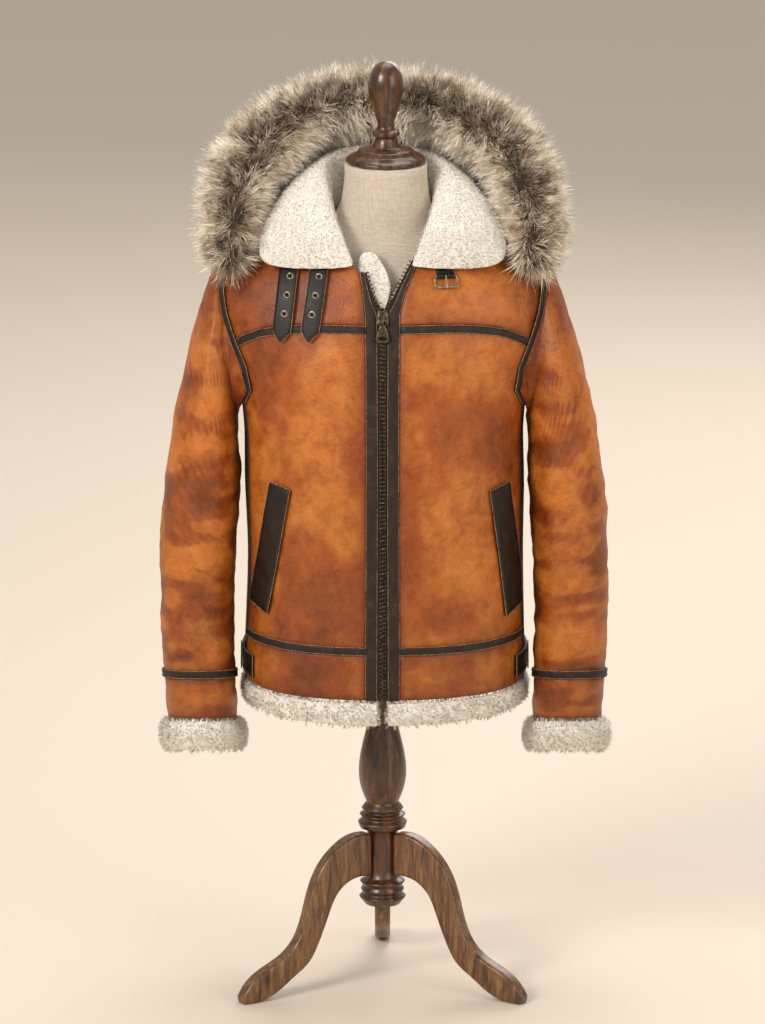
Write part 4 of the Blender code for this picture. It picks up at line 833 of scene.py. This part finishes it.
def pile_tree():
    """Geometry Nodes: locks scattered over faces, leaning along the combed direction."""
    tree, keys, given = geometry_tree(
        "pile", {"Ground": "Geometry", "Locks": "Collection", "Density": "Float", "Shortest": "Float",
                 "Longest": "Float", "Untidy": "Float", "Seed": "Int", "Finish": "Material"})
    dense = calc(tree, given["Density"], stored(tree, "grows", "FLOAT"), "MULTIPLY")
    scattered = add(tree, "GeometryNodeDistributePointsOnFaces",
                    {"Mesh": given["Ground"], "Density": dense, "Seed": given["Seed"]})
    jitter = add(tree, "FunctionNodeRandomValue",
                 {"Min": (-1, -1, -1), "Max": (1, 1, 1), "Seed": given["Seed"]}, data_type="FLOAT_VECTOR")
    shaken = vector(tree, "SCALE", {0: jitter.outputs["Value"], 3: given["Untidy"]})
    aim = vector(tree, "ADD", {0: stored(tree, "comb"), 1: shaken})
    stand = add(tree, "FunctionNodeAlignRotationToVector", {"Vector": aim}, axis="Z")
    spin = add(tree, "FunctionNodeRandomValue", {"Min": (0, 0, 0), "Max": (0, 0, 2 * math.pi), "Seed": 5},
               data_type="FLOAT_VECTOR")
    rolled = add(tree, "FunctionNodeRotateRotation",
                 {"Rotation": stand.outputs["Rotation"], "Rotate By": spin.outputs["Value"]},
                 rotation_space="LOCAL")
    size = add(tree, "FunctionNodeRandomValue", {2: given["Shortest"], 3: given["Longest"], "Seed": 9},
               data_type="FLOAT")
    locks = add(tree, "GeometryNodeCollectionInfo",
                {"Collection": given["Locks"], "Separate Children": True, "Reset Children": True})
    set_on_points(tree, given, {"Points": scattered.outputs["Points"], "Pick Instance": True,
                                "Instance": locks.outputs["Instances"], "Scale": size.outputs[1],
                                "Rotation": rolled.outputs["Rotation"]})
    return tree, keys


SHORT_LOCK = dict(hairs=4, length=0.0034, width=0.0011, splay=0.55, curl=0.25, cuts=2)
LONG_LOCK = dict(hairs=5, length=0.0070, width=0.0011, splay=0.34, curl=0.22, cuts=2)
FUR_LOCK = dict(hairs=5, length=0.037, width=0.0009, splay=0.42, curl=0.16, cuts=3)
FIRST_LOCK_SEED = 11
# Locks a square metre.
SHORT_WOOL_DENSITY = 120000
LONG_WOOL_DENSITY = 85000
HOOD_WOOL_DENSITY = 55000
FUR_DENSITY = 68000


def lock_group(name, count, sizes):
    """A few different locks for the tree to pick from."""
    group = bpy.data.collections.new(name)
    bpy.context.scene.collection.children.link(group)
    for k in range(count):
        linked(f"{name}_{k}", lock_mesh(f"{name}_{k}", seed=FIRST_LOCK_SEED + k, **sizes), group)
    return group


def remove_group(group):
    for lock in list(group.objects):
        bpy.data.objects.remove(lock)
    bpy.data.collections.remove(group)


FRINGE_HEIGHT = 0.016
WOOL_THINS = ((-0.7, -0.3), (0.45, 1.0))         # by the upward part of the face's direction


def wool_ground(name, sink):
    """Wool piece's base, drawn in by the depth of its pile and lumpy like locks pressed together."""
    mesh = finer(name, 2, 75.0, hold=0.5)
    points, normals = arrays(mesh)
    lumps = 0.0009 * waves(points, 0.011, 2.0) + 0.0003 * waves(points, 0.005, 5.0)
    put_points(mesh, points + normals * (lumps - sink)[:, None])
    _, raised = arrays(mesh)
    put_attribute(mesh, "nap", 0.75 * normals + 0.25 * raised)
    return mesh


def swirls(points, size, seed):
    """Smooth random directions, one for each point."""
    return np.stack([waves(points, size, seed + 4.0 * axis) for axis in range(3)], axis=1)


def combed(mesh, comb, grows=None, kind=None):
    """Stores the way that the pile leans, where it grows, and how pale it is."""
    _, normals = arrays(mesh)
    put_attribute(mesh, "comb", unit(comb))
    if "nap" not in mesh.attributes:
        put_attribute(mesh, "nap", normals)
    put_attribute(mesh, "kind", np.full(len(comb), 0.5) if kind is None else kind)
    put_attribute(mesh, "grows", np.ones(len(comb)) if grows is None else grows)


def pile(name, ground, tools, locks, density, paint, seed, low=0.7, high=1.15, untidy=0.35):
    """Pile of locks over a ground mesh, as one piece."""
    made = grow(name, ground.copy(), tools["pile"],
                {"Locks": locks, "Density": float(density), "Shortest": low, "Longest": high,
                 "Untidy": untidy, "Seed": seed, "Finish": paint})
    show(name, made, [])


def wool_comb(mesh, lift=0.0):
    """Sheared wool stands up in small swirls; lift leans the locks of an upper edge upwards."""
    points, normals = arrays(mesh)
    top = points[:, 2].max()
    edge = np.clip(1 - (top - points[:, 2]) / FRINGE_HEIGHT, 0, 1)[:, None]
    return normals + 0.8 * swirls(points, 0.017, 3.0) + lift * edge * np.array((0, 0, 1.0))


def wool_piece(name, tools, paints, seed, sink, lift, locks, density):
    """Wool piece: its ground and its pile, which is thinner on faces that look down."""
    ground = wool_ground(name, sink)
    _, normals = arrays(ground)
    combed(ground, wool_comb(ground, lift), grows=np.interp(normals[:, 2], *WOOL_THINS))
    pile(name + "_pile", ground, tools, locks, density, paints["wool_locks"], seed)
    show(name + "_ground", ground, [paints["wool"]], name)


# ---- ruff
RING_CENTRE = Vector((-0.0033, -0.006, 1.05))
RING_FRONT = Vector((0, -0.74, 0.67)).normalized()
RING_UP = Vector((0, 0.67, 0.74))
RING_BINS = 48
# Marks across the ring, and at each how pale the fur is, how deep its base lies and how far it sweeps out.
FUR_PALE = ((-1.0, -0.85, -0.5, 0.1, 0.55, 1.0), (1.0, 0.80, 0.18, 0.18, 0.50, 0.62))
FUR_SINK = ((-1.0, -0.3, 0.4, 1.0), (0.011, 0.016, 0.020, 0.022))
FUR_SWEEP = ((-1.0, -0.4, 0.1, 1.0), (-0.25, 0.25, 0.8, 0.9))
FUR_DROOP = np.array((0, 0, -0.12))


def ring_place(point):
    """Angle of a point round the hood's opening, its distance from the middle and its way out."""
    out = point - RING_CENTRE
    out -= out.dot(RING_FRONT) * RING_FRONT
    return math.atan2(out.x, out.dot(RING_UP)), out.length, out.normalized()


def ring_share(points):
    """Place of points across the ring of fur, -1 at its inner and 1 at its outer edge, and the way out."""
    places = [ring_place(Vector(p)) for p in points]
    angle, reach = (np.array([p[k] for p in places]) for k in (0, 1))
    order = ((angle + math.pi) / (2 * math.pi) * RING_BINS).astype(int) % RING_BINS
    share = np.zeros(len(points))
    for k in np.unique(order):
        here = order == k
        low, high = reach[here].min(), reach[here].max()
        share[here] = (2 * reach[here] - low - high) / max(high - low, 0.02)
    return share, np.array([p[2] for p in places])


def build_ruff(tools, paints):
    """Fur: cream along the inner edge, dark along the middle, greyer outside, in patches."""
    ground = finer("fur_ruff", 2, 180)
    points, normals = arrays(ground)
    share, out = ring_share(points)
    kind = np.clip(np.interp(share, *FUR_PALE) + 0.85 * waves(points, 0.024, 12.0), 0, 1)
    lumps = 0.0045 * waves(points, 0.035, 3.0) + 0.002 * waves(points, 0.012, 6.0)
    sink = np.interp(share, *FUR_SINK)
    sweep = np.interp(share, *FUR_SWEEP)
    comb = normals * 0.8 + out * sweep[:, None] + 0.85 * swirls(points, 0.034, 5.0) + FUR_DROOP
    put_points(ground, points + normals * (lumps - sink)[:, None])
    combed(ground, comb, kind=kind)
    locks = lock_group("fur_lock", 7, FUR_LOCK)
    for side_name, side in (("left", 1), ("right", -1)):
        put_attribute(ground, "grows", (points[:, 0] * side >= 0).astype(float))
        pile(f"fur_{side_name}", ground, tools, locks, FUR_DENSITY, paints["fur"],
             seed=3 + side, low=0.62, high=1.15, untidy=0.3)
    remove_group(locks)
    show("fur_skin", ground, [paints["fur_ground"]], "fur_ruff")


# ---- hardware
# Eyelets of each neck strap, from the top: x and height.
EYELETS = {"neck_strap_a": ((-0.1235, 0.9838), (-0.1275, 0.9609), (-0.1310, 0.9375)),
           "neck_strap_b": ((-0.0858, 0.9850), (-0.0905, 0.9622), (-0.0951, 0.9386))}
EYELET_OUTER, EYELET_INNER = 0.0050, 0.0026
EYELET_LIFT = 0.0007           # over the strap's crown
EYELET_TURNS = 28
HOLE_HEIGHT, HOLE_CORNERS = 0.0005, 20


def round_about(work, radius, height, count):
    """Points of a circle round Z."""
    turns = [2 * math.pi * k / count for k in range(count)]
    return [work.verts.new((radius * math.cos(turn), radius * math.sin(turn), height)) for turn in turns]


def eyelet_mesh():
    """Rolled brass eyelet standing on Z = 0."""
    profile = [(EYELET_OUTER, 0.0), (EYELET_OUTER * 0.97, 0.0005), (EYELET_OUTER * 0.86, 0.0010),
               (EYELET_OUTER * 0.70, 0.0012), (EYELET_INNER * 1.12, 0.0010), (EYELET_INNER, 0.0003)]
    work = bmesh.new()
    bridge(work, [round_about(work, r, z, EYELET_TURNS) for r, z in profile], ends=False)
    return settled(work, "eyelet")


def hole_mesh():
    """Flat dark hole in an eyelet."""
    work = bmesh.new()
    work.faces.new(round_about(work, EYELET_INNER, HOLE_HEIGHT, HOLE_CORNERS))
    return settled(work, "hole")


def tooth_mesh(length, width, thick):
    """One zip tooth: a small block with a rounded head, X along the chain, Y across it."""
    work = bmesh.new()
    bmesh.ops.create_cube(work, size=1.0)
    bmesh.ops.scale(work, vec=(length, width, thick), verts=work.verts)
    bmesh.ops.translate(work, vec=(0, 0, thick / 2), verts=work.verts)
    bmesh.ops.bevel(work, geom=work.edges[:], offset=min(length, thick) * 0.25, segments=2, affect="EDGES")
    return settled(work, "tooth")


def seen_from_front(name, places):
    """Points and normals where lines along Y, at the given x and height, meet a node's outer face."""
    work = welded(name)
    tree = bvhtree.BVHTree.FromBMesh(work)
    work.free()
    rows = []
    for x, height in places:
        where, normal, _, _ = tree.ray_cast(Vector((x, -1, height)), Vector((0, 1, 0)))
        if where is not None:
            rows.append(np.hstack([where, normal]))
    return np.array(rows)


def build_eyelets(paints, tools):
    rows = np.vstack([seen_from_front(name, places) for name, places in EYELETS.items()])
    mesh = points_mesh("eyelet_places", rows[:, :3] + rows[:, 3:6] * EYELET_LIFT, [(0, 0, 1)] * len(rows),
                       rows[:, 3:6])
    repeated("strap_eyelets", mesh.copy(), eyelet_mesh(), tools["repeat"], paints["bright_brass"])
    repeated("strap_holes", mesh, hole_mesh(), tools["repeat"], paints["hole"])


TOOTH_PITCH = 0.0056
TOOTH = (0.0019, 0.0066, 0.0026)        # along the chain, across it, thick
CHAIN_FOOT = 0.4305
CHAIN_ASIDE, CHAIN_LIFT = 0.0017, 0.0004
CHAIN_OVERLAP = 0.004                   # hidden below the slider


def build_zip(paints, tools):
    """Zip teeth on both tapes: meshed below the slider, apart above it."""
    slider_low, slider_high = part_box("zip_slider")
    for side_name, side, phase in (("left", 1, 0.25), ("right", -1, 0.75)):
        sides = sides_of(f"zip_tape_{side_name}", from_body, shortest=0.3)
        inner = min(sides, key=lambda s: np.abs(s[0][:, 0] - STAND_AXIS[0]).mean())[0]
        even = evened(inner[np.argsort(inner[:, 2])], TOOTH_PITCH / 4)
        meshed = even[:, 2] < slider_low.z
        even[meshed, 0] = STAND_AXIS[0] + side * CHAIN_ASIDE
        even[:, :3] += even[:, 3:6] * CHAIN_LIFT
        low = even[meshed & (even[:, 2] > CHAIN_FOOT)]
        high = even[even[:, 2] > slider_high.z - CHAIN_OVERLAP]
        name = f"zip_teeth_{side_name}"
        places = frames_mesh(name, [(low, False), (high, False)], TOOTH_PITCH, phase)
        repeated(name, places, tooth_mesh(*TOOTH), tools["repeat"], paints["brass"])


HOOD_MIDDLE = Vector((0, 0.06, 1.10))


def build_hood(tools, paints):
    """Hood: hide outside, wool where its inside faces the neck."""
    mesh = finer("hood")
    points, normals = arrays(mesh)
    inwards = np.array([(HOOD_MIDDLE - Vector(p)).normalized() for p in points])
    facing = (inwards * normals).sum(axis=1)
    relief = 0.0016 * waves(points, 0.05, 8.0) + 0.0006 * waves(points, 0.018, 9.0)
    put_points(mesh, points + normals * (relief * (facing < -0.1))[:, None])
    # The relief also sets the hide's colour: dark wax and painted shade in its creases.
    put_attribute(mesh, "crease", np.clip(0.5 + relief / CREASE_RANGE, 0, 1))
    put_attribute(mesh, "seam", np.zeros(len(points)))
    combed(mesh, wool_comb(mesh), grows=(facing > 0.1).astype(float))
    pile("hood_pile", mesh, tools, tools["short"], HOOD_WOOL_DENSITY, paints["wool_locks"], 41)
    for face in mesh.polygons:
        if (HOOD_MIDDLE - face.center).normalized().dot(face.normal) > 0.0:
            face.material_index = 1
    show("hood_hide", mesh, [paints["hide"], paints["wool"]], "hood")


SEED_STEP = 1.7
STITCH = (0.0026, 0.0007, 0.0006)       # length, width, thickness
STITCH_PITCH, STITCH_INSET, STITCH_LIFT, SHORTEST_SEAM = 0.0037, 0.0019, 0.0004, 0.03
EDGE_BEAD, EDGE_INSET, EDGE_LIFT, SHORTEST_EDGE = 0.00042, -0.0002, -0.0003, 0.012
EACH_SIDE = ("yoke_trim", "hem_trim", "placket", "armhole_trim", "pocket_welt", "side_tab")
SINGLE = ("yoke_trim_back", "hem_trim_back", "neck_strap_a", "neck_strap_b", "buckle_strap")
POLISHED = ("pocket_welt", "side_tab", "neck_strap", "buckle_strap")
# Wool pieces and how far each is drawn in below its pile.
SHORT_WOOL = (("collar", 0.0018), ("wind_flap", 0.0010), ("facing_left", 0.0007))
LONG_WOOL_SINK, LONG_WOOL_LIFT = 0.0025, 1.6
# Angles in degrees over which an edge is held, and how firmly.
METAL_SHARP, METAL_HOLD = 30, 0.75
WOOD_SHARP, FORM_SHARP = 35, 60
# Metal nodes, their paint and their body.
METALS = (("zip_slider", "brass", ROOT), ("side_buckle_left", "brass", ROOT),
          ("side_buckle_right", "brass", ROOT), ("zip_pull", "brass", "pull"),
          ("neck_buckle", "bright_brass", "buckle"), ("neck_buckle_prong", "bright_brass", "prong"))


def build_hides(paints):
    """Panels of hide with their wool inside."""
    both = [paints["hide"], paints["wool"]]
    seed = 1.0
    for name in ("back_panel", "back_yoke", "back_band"):
        hide_piece(name, from_body, both, seed)
        seed += SEED_STEP
    for side_name in SIDES:
        for part in ("front_panel", "front_yoke", "front_band"):
            hide_piece(f"{part}_{side_name}", from_body, both, seed)
            seed += SEED_STEP
        for part in ("sleeve", "cuff_band"):
            hide_piece(f"{part}_{side_name}", from_arm(side_name), both, seed, SLEEVE_WAVES, facing=0.8)
            seed += SEED_STEP


def build_leather(paints, tools):
    """Dark leather pieces, their stitches and their raw edges."""
    strips = {f"{part}_{side_name}": from_body for side_name in SIDES for part in EACH_SIDE}
    strips |= {name: from_body for name in SINGLE}
    strips |= {f"cuff_trim_{side_name}": from_arm(side_name) for side_name in SIDES}
    for name, away in (strips | {f"side_panel_{side_name}": from_body for side_name in SIDES}).items():
        leather_strip(name, away, paints["calf" if name.startswith(POLISHED) else "leather"])

    seams, rims = [], []
    for name, away in strips.items():
        if name != "buckle_strap":
            seams += sides_of(name, away, SHORTEST_SEAM, inset=STITCH_INSET, lift=STITCH_LIFT)
            rims += sides_of(name, away, SHORTEST_EDGE, inset=EDGE_INSET, lift=EDGE_LIFT)
    repeated("trim_stitches", frames_mesh("trim_stitches", seams, STITCH_PITCH, 0.5), pill(*STITCH),
             tools["repeat"], paints["thread"])
    bead("trim_edges", rims, EDGE_BEAD, paints["edge"])


def build_wool(paints, tools):
    """Wool pieces and the hood, whose inside has the same wool."""
    tools["short"] = lock_group("short_wool", 6, SHORT_LOCK)
    tools["long"] = lock_group("long_wool", 6, LONG_LOCK)
    for k, (name, sink) in enumerate(SHORT_WOOL):
        wool_piece(name, tools, paints, 20 + k, sink, 0.0, tools["short"], SHORT_WOOL_DENSITY)
    for k, name in enumerate(f"{part}_wool_{side_name}" for part in ("hem", "cuff") for side_name in SIDES):
        wool_piece(name, tools, paints, 30 + k, LONG_WOOL_SINK, LONG_WOOL_LIFT, tools["long"],
                   LONG_WOOL_DENSITY)
    build_hood(tools, paints)
    remove_group(tools["short"])
    remove_group(tools["long"])


def build_form(paints):
    """Dress form and its wooden stand."""
    form = show("form_linen", finer("form_torso", 1, FORM_SHARP), [paints["linen"]], "form_torso")
    for name, paint, hold in (("neck_cap", "cap_wood", 1.0), ("pedestal", "stand_wood", 1.0),
                              ("leg_left", "leg_wood", 0.9), ("leg_right", "leg_wood", 0.9),
                              ("leg_back", "leg_wood", 0.9)):
        show(name + "_wood", finer(name, 2, WOOD_SHARP, hold), [paints[paint]], name)


def build_all():
    paints = {
        "hide": waxed_hide(),
        "leather": dark_leather("dark_cowhide", ("#190F0A", "#2B1B13", "#48352A"), 0.48),
        "calf": dark_leather("polished_dark_calf", ("#110A06", "#1D120C", "#34241B"), 0.40),
        "edge": cut_edge(),
        "wool": lambswool_ground(),
        "fur": hair("long_haired_fur", ("#1F150E", "#544030", "#A0876D"), ("#A38C72", "#D8C8B0", "#F6EEDF"),
                    (0.62, 1.25), 0.55, 0.1, 0.4),
        "fur_ground": fur_ground(),
        "bright_brass": aged_brass("antique_brass_rubbed", "#756A55", "#C2B79F", 0.32),
        "brass": aged_brass("antique_brass", "#332E25", "#776E58", 0.34),
        "hole": dark_hole(),
        "thread": waxed_thread(),
        "tape": woven_tape(),
        "wool_locks": hair("lambswool_locks", ("#D6CEC2", "#E2DBD0", "#EBE5DD"),
                           ("#E1DAD0", "#EAE5DC", "#F2EEE8"), (0.97, 1.03), 0.85, 0.5, 1.0),
        "linen": linen_canvas(),
        "cap_wood": walnut("shellacked_cap_wood", "#1E1008", "#4A2B14", "#7D5328", 0.30),
        "stand_wood": walnut("shellacked_walnut", "#1A0E05", "#482910", "#734A20", 0.36),
        "leg_wood": walnut("shellacked_leg_walnut", "#331E0D", "#6F4828", "#99713F", 0.36),
    }
    tools = {"repeat": repeat_tree(), "pile": pile_tree()}
    build_hides(paints)
    build_leather(paints, tools)
    build_wool(paints, tools)
    build_ruff(tools, paints)
    for name in ("zip_tape_left", "zip_tape_right"):
        show(name + "_cloth", finer(name), [paints["tape"]], name)
    build_zip(paints, tools)
    build_eyelets(paints, tools)
    for name, paint, body in METALS:
        mesh = finer(name, 2, METAL_SHARP, METAL_HOLD)
        show(name + "_metal", mesh, [paints[paint]], name, body)
    build_form(paints)


build_studio()
build_all()
